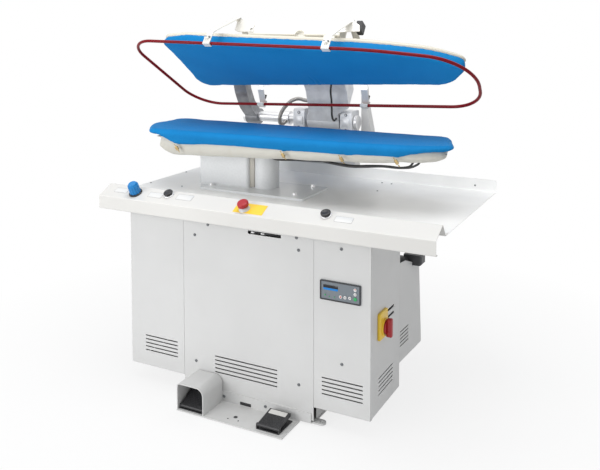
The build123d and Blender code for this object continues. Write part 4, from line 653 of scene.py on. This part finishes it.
def makeHeadCover():
    look = {
        "foot": 10,
        "face": [(1, 84), (0.6, 48), (0.4, 30), (1.2, 15), (4.5, 6)],
        "side": [(12, 2.2), (24, 2), (36, 4), (45, 7), (50, 13)],
        "lip": [(48, 28), (30, 32)],
        "widest": 45,
        "meeting": 9.6,
        "swell": 4.5,
        "pucker": {"size": 15, "depth": 1.5, "rim": 55, "spread": 17},
        "swells": {"size": 90, "depth": 0.7},
        "creases": [((-2, -60), (7, 22)), ((20, -50), (30, 20)), ((-30, -20), (-34, 26))],
        "crease": {"width": 3.6, "depth": 2.2, "ends": 0.42, "rim": 16},
    }
    shape = bmesh.new()
    rings = []
    for rise, inset in look["face"] + look["side"] + look["lip"]:
        droop = min(rise / look["widest"], 1)
        level = look["foot"] + rise
        rings.append([headPoint(*point, level - tipDroop(point.x) * droop) for point in padRing(inset)])
    bridge(shape, rings)
    cover = addPiece("headCoverCloth", shape, "blue_cloth", "head")
    stuffed(cover, look["swell"])

    def drape(point, normal):
        x, y, h = closedPoint(point)
        pucker, swells = look["pucker"], look["swells"]
        rim = bell(h + tipDroop(x) - pucker["rim"], pucker["spread"])
        gather = wander(x, y * 0.9, 0, pucker["size"]) + 0.6 * wander(x, y, 5, pucker["size"] * 2.4)
        rise = gather * rim * pucker["depth"] + wander(x, y, h, swells["size"]) * swells["depth"]
        return normal * rise

    def shut(point, normal):
        # the face stops short of the buck when the press is shut
        h = closedPoint(point)[2]
        return headwise(0, 0, 1) * (-eased(-h, -look["meeting"]) - h)

    def creased(point, normal):
        # folds that run into the face where the cloth is drawn tight
        x, y, h = closedPoint(point)
        crease = look["crease"]
        fall = 0
        for start, end in look["creases"]:
            along = Vector(end) - Vector(start)
            reach = Vector((x, y)) - Vector(start)
            part = reach.dot(along) / along.length_squared
            off = (reach - along * part).length
            fall += crease["depth"] * bell(off, crease["width"]) * bell(part - 0.5, crease["ends"])
        return normal * -fall * bell(h - look["foot"], crease["rim"])

    shifted(cover, drape)
    shifted(cover, shut)
    shifted(cover, creased)
    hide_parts("head_cover")


def rimHeight(x):
    # the level of the hem, before it rises between the springs
    look = {"middle": 903.5, "tilt": 0.014}
    return look["middle"] + look["tilt"] * x


def hemLift(x, y):
    # the springs hold the hem down; between them, and round the ends, it rises
    look = {"back": 3, "leftEnd": 38, "leftSlope": 0.33, "rightEnd": 24, "between": 6.5, "share": 0.016}
    if y > -60 and -430 < x < 540:
        return look["back"]
    lift = min(max(-418 - x, 0) * look["leftSlope"], look["leftEnd"])
    lift += look["rightEnd"] * sin(pi / 2 * between(x, 450, 580))
    for left, right in zip(springPlaces, springPlaces[1:]):
        if left < x < right:
            arch = sin(pi * between(x, left, right) ** 0.85) ** 0.7
            lift += min(look["share"] * (right - left), look["between"]) * arch
    return lift


def endShift(x):
    # the ends of the pad run in under its top
    look = {"left": 52, "tip": 0.75, "right": 24}
    left, right = between(-x, 430, 568), between(x, 540, 635)
    return look["left"] * left ** 2 + look["tip"] * max(-568 - x, 0) - look["right"] * right ** 2


def underRing(inset, height, drawIn=1):
    # a ring below the widest line; height may follow the hem
    edge, depth = 2, 40
    ring = []
    for outer, inner in zip(padRing(edge, buckPad), padRing(edge + depth, buckPad)):
        point = outer.lerp(inner, (inset - edge) / depth)
        ring.append((point.x + endShift(outer.x) * drawIn, point.y, height(outer)))
    return ring


def makeBuckCover():
    look = {
        "top": 957.2,
        "drop": [(2, 84), (1.6, 54), (1.6, 38), (2.4, 24), (6.4, 11), (13, 4.5), (23, 3)],
        "hem": [(10, 3), (12, 1), (20, 3), (30, 8)],
        "hemGap": 5,
        "fullDrop": 27,
        "swell": 4.5,
        "pucker": {"size": 17, "depth": 1.3, "spread": 13, "taut": 45},
        "swells": {"size": 80, "depth": 0.6},
        "corner": {"x": 600, "z": 932, "reach": 60, "height": 22, "size": 24, "depth": 2.8},
        "ripple": {"z": 944, "height": 10, "size": 36, "depth": 1.2},
    }

    def hem(point, lift=0):
        return rimHeight(point.x) + hemLift(*point) + lift

    def fallen(point, drop):
        # where the hem is high, the whole side is lower in proportion
        share = (look["top"] - hem(point) - look["hemGap"]) / look["fullDrop"]
        return look["top"] - drop * min(1, share)

    shape = bmesh.new()
    rings = []
    for drop, inset in look["drop"]:
        rings.append([(*point, fallen(point, drop)) for point in padRing(inset, buckPad)])
    lowest = look["drop"][-1][0]
    rings.append(underRing(7, lambda point: (fallen(point, lowest) + hem(point)) / 2, 0.5))
    for inset, lift in look["hem"]:
        rings.append(underRing(inset, lambda point: hem(point, lift)))
    bridge(shape, rings)
    cover = addPiece("buckCoverCloth", shape, "blue_cloth")
    stuffed(cover, look["swell"])

    def drape(point, normal):
        x, y, z = point
        pucker, swells, corner, ripple = [look[key] for key in ("pucker", "swells", "corner", "ripple")]
        low = bell(z - rimHeight(x) - hemLift(x, y), pucker["spread"])
        gather = wander(x, y * 0.9, 2, pucker["size"]) + 0.6 * wander(x, y, 9, pucker["size"] * 2.6)
        taut = 0.4 + 1.2 * max(bell(x - place, pucker["taut"]) for place in springPlaces)
        rise = gather * low * pucker["depth"] * taut + wander(x, y, z, swells["size"]) * swells["depth"]
        near = bell(x - corner["x"], corner["reach"]) * bell(z - corner["z"], corner["height"])
        rise += near * wander(x, y, z * 0.5, corner["size"]) * corner["depth"]
        near = bell(z - ripple["z"], ripple["height"])
        rise += near * wander(x, y, z, ripple["size"]) * ripple["depth"]
        return normal * rise

    shifted(cover, drape)
    shifted(cover, lambda point, normal: Vector((0, 0, eased(point.z, look["top"]) - point.z)))
    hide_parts("buck_cover")


def makeUndercloth():
    look = {
        "floor": 863,
        "tilt": 0.0365,
        "leftEnd": -430,
        "inset": 27,
        "shorten": 0.87,
        "shiftX": 14,
        "middle": (29, -100),
        "tucked": [(30, 946), (18, 934)],
        "lip": 8,
        "sides": (0.3, 0.6, 0.82, 0.95),
        "under": [(3, 0), (16, -2), (44, -2.5)],
        "swell": 4,
        "bulge": 6,
        "folds": {"size": 20, "depth": 1.6, "below": 6, "spread": 18},
        "pull": {"depth": 5, "below": 12, "spread": 16, "width": 24},
    }
    middle = Vector(look["middle"])

    def underside(x):
        return look["floor"] + look["tilt"] * (x - look["leftEnd"])

    shape = bmesh.new()
    rings = [underRing(inset, lambda point: level) for inset, level in look["tucked"]]
    rings.append(underRing(13, lambda point: rimHeight(point.x) + look["lip"]))
    upper = [Vector(point[:2]) for point in rings[-1]]
    outline = padRing(look["inset"], buckPad)
    lower = [Vector((point.x * look["shorten"] + look["shiftX"], point.y)) for point in outline]
    for part in look["sides"]:
        ring = []
        for high, low in zip(upper, lower):
            flat = high.lerp(low, part ** 2.2)
            away = (flat - middle).normalized() * sin(pi * part) * look["bulge"]
            height = (rimHeight(high.x) + look["lip"]) * (1 - part) + underside(low.x) * part
            ring.append((*(flat + away), height))
        rings.append(ring)
    for inset, lift in look["under"]:
        ring = []
        for low in lower:
            flat = low - (low - middle).normalized() * inset
            ring.append((*flat, underside(flat.x) + lift))
        rings.append(ring)
    bridge(shape, rings)
    cloth = addPiece("buckUndercloth", shape, "cream_cloth")
    stuffed(cloth, look["swell"])

    def drape(point, normal):
        x, y, z = point
        depth = rimHeight(x) - z
        folds, pull = look["folds"], look["pull"]
        size = folds["size"]
        fold = wander(x, y * 0.8, z * 0.25, size) + 0.6 * wander(x, y, z * 0.4, size * 2.1)
        rise = fold * bell(depth - folds["below"], folds["spread"]) + wander(x, y, z, size * 3)
        drawn = max(bell(x - place, pull["width"]) for place in springPlaces) if y < -60 else 0
        dent = drawn * bell(depth - pull["below"], pull["spread"]) * pull["depth"]
        return normal * (rise * folds["depth"] - dent)

    shifted(cloth, drape)
    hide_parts("buck_padding")


def makeHemSprings():
    # small coils with a hook at each end, which draw the cover down over the pad
    look = {"coil": 5, "wire": 1.5, "turns": 6, "length": 19, "hook": 4}
    look.update({"top": 3, "lean": 12, "inward": 5, "pointsPerTurn": 12})
    for index, x in enumerate(springPlaces):
        top = Vector((x - look["lean"] / 2, frontEdge(x), rimHeight(x) + look["top"]))
        down = Vector((look["lean"], look["inward"], -look["length"]))
        axis = down.normalized()
        side = axis.orthogonal().normalized()
        lift = axis.cross(side)
        steps = look["turns"] * look["pointsPerTurn"]

        def around(turn):
            return side * sin(turn) + lift * cos(turn)

        def hook(place, start, shift):
            turns = [radians(start + 24 * k) for k in range(9)]
            bend = [lift * cos(turn) + axis * (sin(turn) + shift) for turn in turns]
            return [place + step * look["hook"] for step in bend]

        route = hook(top, -150, -0.6)
        for k in range(steps + 1):
            reach = look["coil"] * min(1, 0.3 + k / 9, 0.3 + (steps - k) / 9)
            turn = 2 * pi * k / look["pointsPerTurn"]
            route.append(top + down * (0.12 + 0.76 * k / steps) + around(turn) * reach)
        route += hook(top + down, -40, 0.6)
        shape = bmesh.new()
        tubeAlong(shape, route, look["wire"], 6)
        spring = addPiece("hemSpring%d" % (index + 1), shape, "spring_brass")
        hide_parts("cover_springs")


def makeHeadCasting():
    # the cast back of the head, with the softly falling edge that shows above the cloth
    look = {
        "side": [(46, 22), (55.5, 7), (61, 8), (67, 12), (73, 20)],
        "back": [(79, 32), (88, 50), (94, 62), (97, 70), (98, 80)],
        "taper": -18,
        "foot": 55.5,
        "top": 98,
    }
    shape = bmesh.new()
    rings = []
    for height, inset in look["side"] + look["back"]:
        lean = look["taper"] * max(height - look["foot"], 0) / (look["top"] - look["foot"])
        rings.append([headPoint(x + lean, y, height - tipDroop(x)) for x, y in padRing(inset)])
    bridge(shape, rings)
    casting = addPiece("headCastingShell", shape, "casting_cream", "head")
    casting.data.polygons[-1].use_smooth = False
    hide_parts("head_casting")


makeHeadCover()
makeHeadCasting()
print("head cover padded")
makeBuckCover()
makeUndercloth()
makeHemSprings()
print("buck covers padded")

# small fittings: the console's face leans back by slopeTurn

slopeTurn = radians(26.9)
slopeFoot = Vector((0, -463, 724))
slopeUp = Vector((0, cos(slopeTurn), sin(slopeTurn)))
slopeOut = Vector((0, -sin(slopeTurn), cos(slopeTurn)))
onSlope = ((1, 0, 0), slopeUp, slopeOut)
front = (0, -1, 0)


def slopePoint(x, up, out=0.0):
    # a place on the console's sloping face
    return slopeFoot + Vector((x, 0, 0)) + slopeUp * up + slopeOut * out


def screwHead(shape, place, axis, radius, height, recess=0.5):
    # domed head with a six-sided socket
    dome = [(radius, -0.2), (radius, height * 0.3), (radius * 0.95, height * 0.6)]
    dome += [(radius * 0.8, height * 0.88), (radius * 0.62, height)]
    socket = [(radius * recess, height), (radius * recess * 0.96, height * 0.25), (0.05, height * 0.2)]
    turned(shape, dome + socket, place, axis, 24, hexagon=(5, 6))


def hexHead(shape, place, axis, across, height):
    # six-sided bolt head
    radius = across / 2 / cos(pi / 6)
    shoulder = height * 0.8 - 0.1
    profile = [(radius, -0.1), (radius, shoulder), (radius * 0.9, height - 0.1), (0.05, height - 0.1)]
    turned(shape, profile, place, axis, 24, hexagon=(0, 1))


def makeScrews():
    look = {"panel": (5.5, 3), "table": (3.6, 1.8)}  # radius and height of a head
    panelSpots = [(-273, 598), (-271, 129), (152, 600), (153, 132)]
    panelSpots += [(-216, 642), (144, 642), (311, 626), (314, 237)]
    riserSpots = [(-148, 24), (23, 26)]
    tableSpots = [(-626, -172), (-475, -168), (-626, 72), (247, 110), (210, 256), (251, 254)]
    shape = bmesh.new()
    for y, spots in ((-370, panelSpots), (-374, riserSpots)):
        for x, z in spots:
            screwHead(shape, (x, y, z), front, *look["panel"])
    screws = addPiece("panelScrewHeads", shape, "screw_zinc")
    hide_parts("panel_screws")
    shape = bmesh.new()
    for x, y in tableSpots:
        screwHead(shape, (x, y, 716), (0, 0, 1), *look["table"])
    screwHead(shape, (579, 298, 735), front, *look["table"])
    addPiece("tableScrewHeads", shape, "screw_zinc")


def makePlateFittings():
    # a black plug that fills the plate's hole as painted shadow, two rivets and the ribbed vent of the
    # pedal plate
    look = {"plug": [(7, -0.5), (7, 0.9), (6, 1.6), (3.4, 1.3), (0.05, 0.8)], "ribs": 9, "ribPitch": 4.8}
    shape = bmesh.new()
    # the black plug is painted shadow: it darkens the hole where only shade would be
    turned(shape, look["plug"], (-51, -452, 6), (0, 0, 1))
    for x, y in ((-70, -472), (-30, -469)):
        screwHead(shape, (x, y, 6), (0, 0, 1), 2.6, 1.1)
    for k in range(look["ribs"]):
        place = (-77 + look["ribPitch"] * k, -374, 14.5)
        roundedBlock(shape, place, facingFront, (3.2, 9, 2.2), 1, 0.5, 2)
    roundedBlock(shape, (-58, -374, 14.5), facingFront, (45, 11, 1.1), 1.5, 0.4, 3)
    addPiece("plateFittings", shape, "black_plastic")


def makeLegends():
    look = {"thickness": 0.5, "corner": 2, "rim": 0.9, "rimHeight": 0.75}
    plates = [(-561, 41, 58, 24), (-403, 39, 60, 26), (-279, 46, 66, 28), (345, 39, 62, 26)]
    white = paint("legendWhite", (0.74, 0.74, 0.73), 0.28, peel=0.01)
    grey = paint("legendRim", (0.4, 0.4, 0.4), 0.4, peel=0.01)
    rims = bmesh.new()
    plain = bmesh.new()
    for x, up, width, height in plates:
        place = slopePoint(x, up, 0.02)
        roundedBlock(plain, place, onSlope, (width, height, look["thickness"]), look["corner"], 0.15, 3)
        size = (width + 0.6, height + 0.6)
        frameRing(rims, place, onSlope, size, look["corner"], look["rim"], look["rimHeight"])
    addPiece("legendPlates", plain, "console_paint", finish=white)
    addPiece("legendRims", rims, "console_paint", finish=grey)


def litAbove(finish, height):
    # 1 above a height given in millimetres
    return finish.step(finish.axis("Z"), (height - 0.3) * mm, (height + 0.3) * mm)


def makeDisplay():
    look = {
        "face": -374.8,
        "centre": (308.5, 481.5),
        "size": (147, 67),
        "litFrom": 490,
        "keys": [(311, 467), (327, 467), (344, 468), (363, 483), (363, 498)],
        "keyRadius": 5.6,
        "keyTop": 2.5,
        "panelTop": 1.6,
    }
    face, keyRadius = look["face"], look["keyRadius"]
    x, z = look["centre"]
    shape = bmesh.new()
    frameRing(shape, (x, face + 0.6, z), facingFront, look["size"], 4, 4.2, 1.9)
    addPiece("displayFrame", shape, "black_plastic")

    glass = Finish("displayGlass", (0.002, 0.003, 0.005), 0.14)
    lit = litAbove(glass, look["litFrom"])
    glass.set("Emission Color", glass.mix(lit, (0.0, 0.24, 0.72), (0.0, 0.0, 0.0)))
    glass.set("Emission Strength", 0.85)
    glass.set("Roughness", 0.12 + glass.noise(9, 2) * 0.06)
    shape = bmesh.new()
    roundedBlock(shape, (274, face + 0.4, 491.5), facingFront, (53, 17, 0.9), 1.6, 0.3, 3)
    addPiece("displayWindow", shape, "display_grey", finish=glass)

    caps = bmesh.new()
    profile = [(keyRadius, -0.2), (keyRadius, 1.1), (keyRadius - 0.7, 1.8), (0.05, 2.05)]
    for x, z in look["keys"]:
        turned(caps, profile, (x, face, z), front)
    addPiece("displayKeys", caps, "display_grey", finish=plastic("keyWhite", (0.72, 0.71, 0.7), 0.35))
    red = [(311, 467, 2.9), (363, 500, 2.2)]
    grey = [(327, 467, 2.4), (344, 468, 2.4), (363, 483, 2.2)]
    green = [(363, 467, 6), (254.6, 465.5, 2.6), (269.7, 461.6, 1.7), (288.4, 462, 1.7)]
    dots = [
        ("keyDotRed", (0.62, 0.03, 0.02), look["keyTop"], red),
        ("keyDotGrey", (0.3, 0.31, 0.33), look["keyTop"], grey),
        ("keyGreen", (0.03, 0.4, 0.12), look["panelTop"], green),
    ]
    for name, colour, top, spots in dots:
        shape = bmesh.new()
        for x, z, radius in spots:
            profile = [(radius, -0.1), (radius, top - 0.5), (radius * 0.8, top), (0.05, top + 0.15)]
            turned(shape, profile, (x, face, z), front, 20)
        addPiece(name, shape, "display_grey", finish=plastic(name, colour, 0.3, 0.02))


def makeMainSwitch():
    # thin square escutcheon with a raised collar, and the grip that turns on it
    look = {
        "face": 416,
        "centre": (-272, 358),
        "size": (76, 92, 9),
        "axle": (-262, 346),
        "collar": [(31, 0), (31, 2.4), (29.6, 3.4), (25, 3.6), (24, 2), (0.1, 2)],
        "screws": [(-301, 395), (-243, 395), (-301, 321), (-243, 321)],
        "hub": [(22.5, 0), (22.5, 5), (21, 6.5), (0.1, 6.5)],
        "lift": 2.2,
        "grip": [(21, 62, 6), (20, 63, 12), (19, 64, 20), (16.5, 62, 22.5), (12, 58, 23.5)],
        "pinch": 0.26,
    }
    outward = (1, 0, 0)
    plateTop = look["face"] + look["size"][2]
    shape = bmesh.new()
    roundedBlock(shape, (look["face"], *look["centre"]), facingRight, look["size"], 7, 2, 6)
    turned(shape, look["collar"], (plateTop, *look["axle"]), outward, 48)
    for spot in look["screws"]:
        screwHead(shape, (plateTop, *spot), outward, 2.6, 1)
    plate = addPiece("switchPlate", shape, "safety_yellow")
    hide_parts("main_switch_body")

    shape = bmesh.new()
    start = plateTop + look["lift"]
    axleY, axleZ = look["axle"]
    turned(shape, look["hub"], (start, axleY, axleZ), outward, 40)
    rings = []
    for width, height, level in look["grip"]:
        ring = []
        for k in range(40):
            turn = 2 * pi * k / 40
            pinch = (1 - look["pinch"] * cos(turn) ** 2) * 1.35
            u = width / 2 * copysign(abs(cos(turn)) ** 0.5, cos(turn)) * pinch
            v = height / 2 * copysign(abs(sin(turn)) ** 0.6, sin(turn))
            ring.append((start + level, axleY + u, axleZ + v))
        rings.append(ring)
    bridge(shape, rings)
    grip = addPiece("switchGrip", shape, "stop_red", "handle_body")
    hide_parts("main_switch_handle")


def makeClipBolts():
    # two bolts on each strap where it holds the guard ring, over black pads at the back
    look = {
        "front": [(-302, -344.6), (183, -328.0)],
        "rear": [(-302, 155.4), (183, 114.6)],
        "spread": 7,
        "level": 14,
    }
    bolts = bmesh.new()
    pads = bmesh.new()
    outward = headwise(0, -1, 0)
    facing = ((1, 0, 0), headwise(0, 0, 1), outward)
    level = look["level"]
    for x, y in look["rear"]:
        roundedBlock(pads, headPoint(x, y - 6, level), facing, (27, 20, 4), 2, 0.8, 3)
    for spread in (-look["spread"], look["spread"]):
        for x, y in look["front"]:
            hexHead(bolts, headPoint(x + spread, y, 1), outward, 7, 4)
        for x, y in look["rear"]:
            hexHead(bolts, headPoint(x + spread, y - 10, level), outward, 6.5, 2.5)
    addPiece("clipBolts", bolts, "screw_zinc", "ring")
    addPiece("clipPads", pads, "black_plastic", "ring")


def makeTreads():
    # studded rubber on the two pedals, and the pale plate at the back of the right one
    look = {
        "stud": [(1.7, -0.3), (1.53, 0.66), (0.68, 1.1)],
        "pitch": 6.5,
        "start": 5,
        "plate": (66, 22, 1.2),
        "plateAt": {"right": 71.5},
    }
    pedals = {
        "left": {"foot": (-487, 21), "head": (-389, 70), "sides": (-250, -173), "share": 0.94},
        "right": {"foot": (-481, 25.6), "head": (-396, 38), "sides": (60, 128), "share": 0.68},
    }
    pitch = look["pitch"]
    for side, pedal in pedals.items():
        body = side + "_treadle_body"
        foot = Vector((0, *pedal["foot"]))
        reach = Vector((0, *pedal["head"])) - foot
        along = reach.normalized()
        outward = Vector((0, -along.z, along.y))
        left, right = pedal["sides"]
        columns = int((right - left) / pitch)
        shape = bmesh.new()
        for row in range(int(reach.length * pedal["share"] / pitch)):
            for column in range(columns + 1 - row % 2):
                x = left + (column + 0.5 * (row % 2)) * (right - left) / columns
                place = foot + Vector((x, 0, 0)) + along * (look["start"] + row * pitch)
                turned(shape, look["stud"], place, outward, 8)
        addPiece(side + "Tread", shape, "black_plastic", body)
        if side in look["plateAt"]:
            shape = bmesh.new()
            place = foot + Vector(((left + right) / 2, 0, 0)) + along * look["plateAt"][side]
            roundedBlock(shape, place, ((1, 0, 0), along, outward), look["plate"], 2, 0.4, 3)
            addPiece(side + "TreadPlate", shape, "console_paint", body)


def makeGuardShadeSheet():
    # dark sheet inside the rear guard: painted shade seen through its slots
    look = {"edge": 12, "footGap": 5, "headGap": 85, "thickness": 1.2}
    low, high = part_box("right_rear_guard")
    low = [value / mm + look["edge"] for value in low]
    high = [value / mm - look["edge"] for value in high]
    bottom, top = low[2] + look["footGap"], high[2] - look["headGap"]
    centre = (high[0], (low[1] + high[1]) / 2, (bottom + top) / 2)
    size = (high[1] - low[1], top - bottom, look["thickness"])
    shape = bmesh.new()
    roundedBlock(shape, centre, facingRight, size, 6, 0.3, 3)
    # the near-black sheet is painted shade for the inside of the guard
    addPiece("guardShadeSheet", shape, "machine_grey")


def makePedestalStrip():
    # the bare strip where the pipe meets the cast block
    finish = paint("pedestalSeam", (0.5, 0.48, 0.43), 0.5, peel=0.05, grime=0.8)
    shape = bmesh.new()
    roundedBlock(shape, (-194, -88, 804), facingFront, (21, 156, 8), 1.5, 1, 2)
    addPiece("pedestalSeamStrip", shape, "pedestal_paint", finish=finish)


def makeBlockBolts():
    # cap screws and cast bosses on the bearing blocks
    look = {"sides": (-177, 42), "height": 949, "spread": 32}
    bolts = bmesh.new()
    bosses = bmesh.new()
    for x in look["sides"]:
        for spread in (look["spread"], -look["spread"]):
            screwHead(bolts, (x, 268, look["height"] + spread), front, 6.5, 5, 0.55)
        roundedBlock(bosses, (x, 268, look["height"]), facingFront, (38, 34, 3), 6, 1.2)
        roundedBlock(bosses, (x, 265, look["height"]), facingFront, (26, 22, 1.5), 4, 0.8)
    addPiece("blockBolts", bolts, "screw_zinc")
    addPiece("blockBosses", bosses, "cast_grey")


def makeControls():
    # collars on the console, and the wide caps of the two push buttons
    look = {
        "knobCollar": [(25, 0), (25, 3.5), (23.5, 5), (19, 5.2), (7, 4.6)],
        "bezel": [(18.8, 0), (18.8, 2.2), (17.8, 3.6), (15.5, 4.1), (12, 4.1), (11.6, 1)],
        "stopCollar": [(20, 0), (20, 1.6), (18, 2.4), (16.6, 9), (15.6, 11.4), (10.4, 11.8), (9.8, 6)],
        "stem": [(9, 4.6), (9, 7.4), (16.4, 7.6)],
        "cap": [(17.2, 8.6), (17.2, 11), (15.6, 13.4), (11, 14.4), (10.2, 13.6), (0.05, 14)],
        "buttons": {"left": (-351, 50), "right": (278, 50)},
    }
    shape = bmesh.new()
    turned(shape, look["knobCollar"], slopePoint(-493, 37), slopeOut, 40)
    addPiece("knobCollar", shape, "black_plastic")
    shape = bmesh.new()
    for spot in look["buttons"].values():
        turned(shape, look["bezel"], slopePoint(*spot), slopeOut, 40)
    bezels = addPiece("buttonBezels", shape, "shaft_steel")
    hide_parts("control_bezels")
    shape = bmesh.new()
    turned(shape, look["stopCollar"], slopePoint(-20, 28), slopeOut, 40)
    pale = plastic("collarGrey", (0.6, 0.61, 0.63), 0.3)
    addPiece("stopCollar", shape, "console_paint", finish=pale)
    for side, spot in look["buttons"].items():
        shape = bmesh.new()
        turned(shape, look["stem"] + look["cap"], slopePoint(*spot), slopeOut, 40)
        cap = addPiece(side + "ButtonCap", shape, "black_plastic", side + "_button_body")
        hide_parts(side + "_push_button")


def makeSlotFittings():
    # pipe and unions seen through the slot in the front panel; the pipe is black as painted shade inside
    # the slot
    look = {
        "line": (-363, 636.5),
        "ends": (-42, 78),
        "pipe": 3.2,
        "unions": (-38, 2),
        "nut": [(3.4, 0), (5.6, 0.4), (5.6, 8), (4.2, 8.6), (4.2, 14), (3.4, 14.4)],
    }
    left, right = look["ends"]
    length = right - left
    pipe = look["pipe"]
    shape = bmesh.new()
    profile = [(pipe * 0.8, 0), (pipe, 0.5), (pipe, length - 0.5), (pipe * 0.8, length)]
    turned(shape, profile, (left, *look["line"]), (1, 0, 0), 20)
    # the pipe's black stands in for the shade inside the slot
    addPiece("slotPipe", shape, "black_plastic")
    shape = bmesh.new()
    for x in look["unions"]:
        turned(shape, look["nut"], (x, *look["line"]), (1, 0, 0), 24, hexagon=(1, 2))
    addPiece("slotUnions", shape, "shaft_steel")


makeControls()
makeSlotFittings()
makeScrews()
makePlateFittings()
makeLegends()
makeDisplay()
makeMainSwitch()
makeClipBolts()
makeTreads()
makeGuardShadeSheet()
makePedestalStrip()
makeBlockBolts()
print("fittings made")

# floor, light and camera


def makeFloor():
    # fades to plain white away from the machine
    look = {"reach": 14.0, "grey": 0.8, "glow": 0.8, "nearEdge": 0.75, "farEdge": 1.7}
    mesh = bpy.data.meshes.new("floor")
    reach = look["reach"]
    corners = [(-reach, -reach, 0), (reach, -reach, 0), (reach, reach, 0), (-reach, reach, 0)]
    mesh.from_pydata(corners, [], [(0, 1, 2, 3)])
    floor = bpy.data.objects.new("floor", mesh)
    bpy.context.scene.collection.objects.link(floor)
    finish = Finish("floorPale", (look["grey"],) * 3, 0.9)
    mesh.materials.append(finish.material)
    length = {"operation": "LENGTH"}
    away = finish.node("ShaderNodeVectorMath", length, {0: finish.place()}, output="Value")
    fade = finish.step(away, look["nearEdge"], look["farEdge"])
    fade = look["glow"] + fade * (1 - look["glow"])
    white = finish.node("ShaderNodeEmission", {}, {"Color": (1, 1, 1), "Strength": 1.0})
    painted = Sock(finish, finish.shader.outputs[0])
    finish.blend(finish.background() * fade, painted, white, "Material Output")


def makeWorld():
    look = {"fill": 0.52, "fillColour": (0.97, 0.985, 1), "white": 1.0}
    world = bpy.data.worlds.new("studio")
    bpy.context.scene.world = world
    world.use_nodes = True
    studio = NodeTree(world.node_tree)
    soft = studio.tree.nodes["Background"]
    studio.feed(soft.inputs["Color"], look["fillColour"])
    studio.feed(soft.inputs["Strength"], look["fill"])
    fill = Sock(studio, soft.outputs[0])
    white = studio.node("ShaderNodeBackground", {}, {"Color": (1, 1, 1), "Strength": look["white"]})
    studio.blend(studio.background(), fill, white, "World Output")


lamps = {
    "keyLamp": {"place": (-1.6, -3.6, 1.3), "target": (0, 0, 0.9), "size": (2.4, 1.6), "power": 70},
    "overheadLamp": {"place": (0.2, -0.6, 3.6), "target": (0, 0, 0.8), "size": (2.6, 2.0), "power": 62},
    "fillLamp": {"place": (3.4, -1.2, 1.8), "target": (0, 0, 0.6), "size": (1.8, 2.2), "power": 3},
}


def makeLamp(name, place, target, size, power):
    data = bpy.data.lights.new(name, "AREA")
    data.shape = "RECTANGLE"
    data.size, data.size_y = size
    data.energy = power
    lamp = bpy.data.objects.new(name, data)
    bpy.context.scene.collection.objects.link(lamp)
    lamp.location = place
    lamp.rotation_euler = (Vector(target) - Vector(place)).to_track_quat("-Z", "Y").to_euler()


def makeCamera():
    look = {
        "place": (1.3442, -2.6713, 1.393),
        "dip": 3.54,
        "swing": 27.278,
        "lens": 46.675,
        "shift": -0.2852,
    }
    data = bpy.data.cameras.new("camera")
    data.sensor_fit = "HORIZONTAL"
    data.sensor_width = 36
    data.lens = look["lens"]
    data.shift_y = look["shift"]
    data.clip_end = 60
    camera = bpy.data.objects.new("camera", data)
    bpy.context.scene.collection.objects.link(camera)
    camera.location = look["place"]
    camera.rotation_euler = (radians(90 - look["dip"]), 0, radians(look["swing"]))
    bpy.context.scene.camera = camera


makeFloor()
makeWorld()
for name, look in lamps.items():
    makeLamp(name, **look)
makeCamera()
bpy.context.scene.view_settings.view_transform = "Standard"
print("stage set")
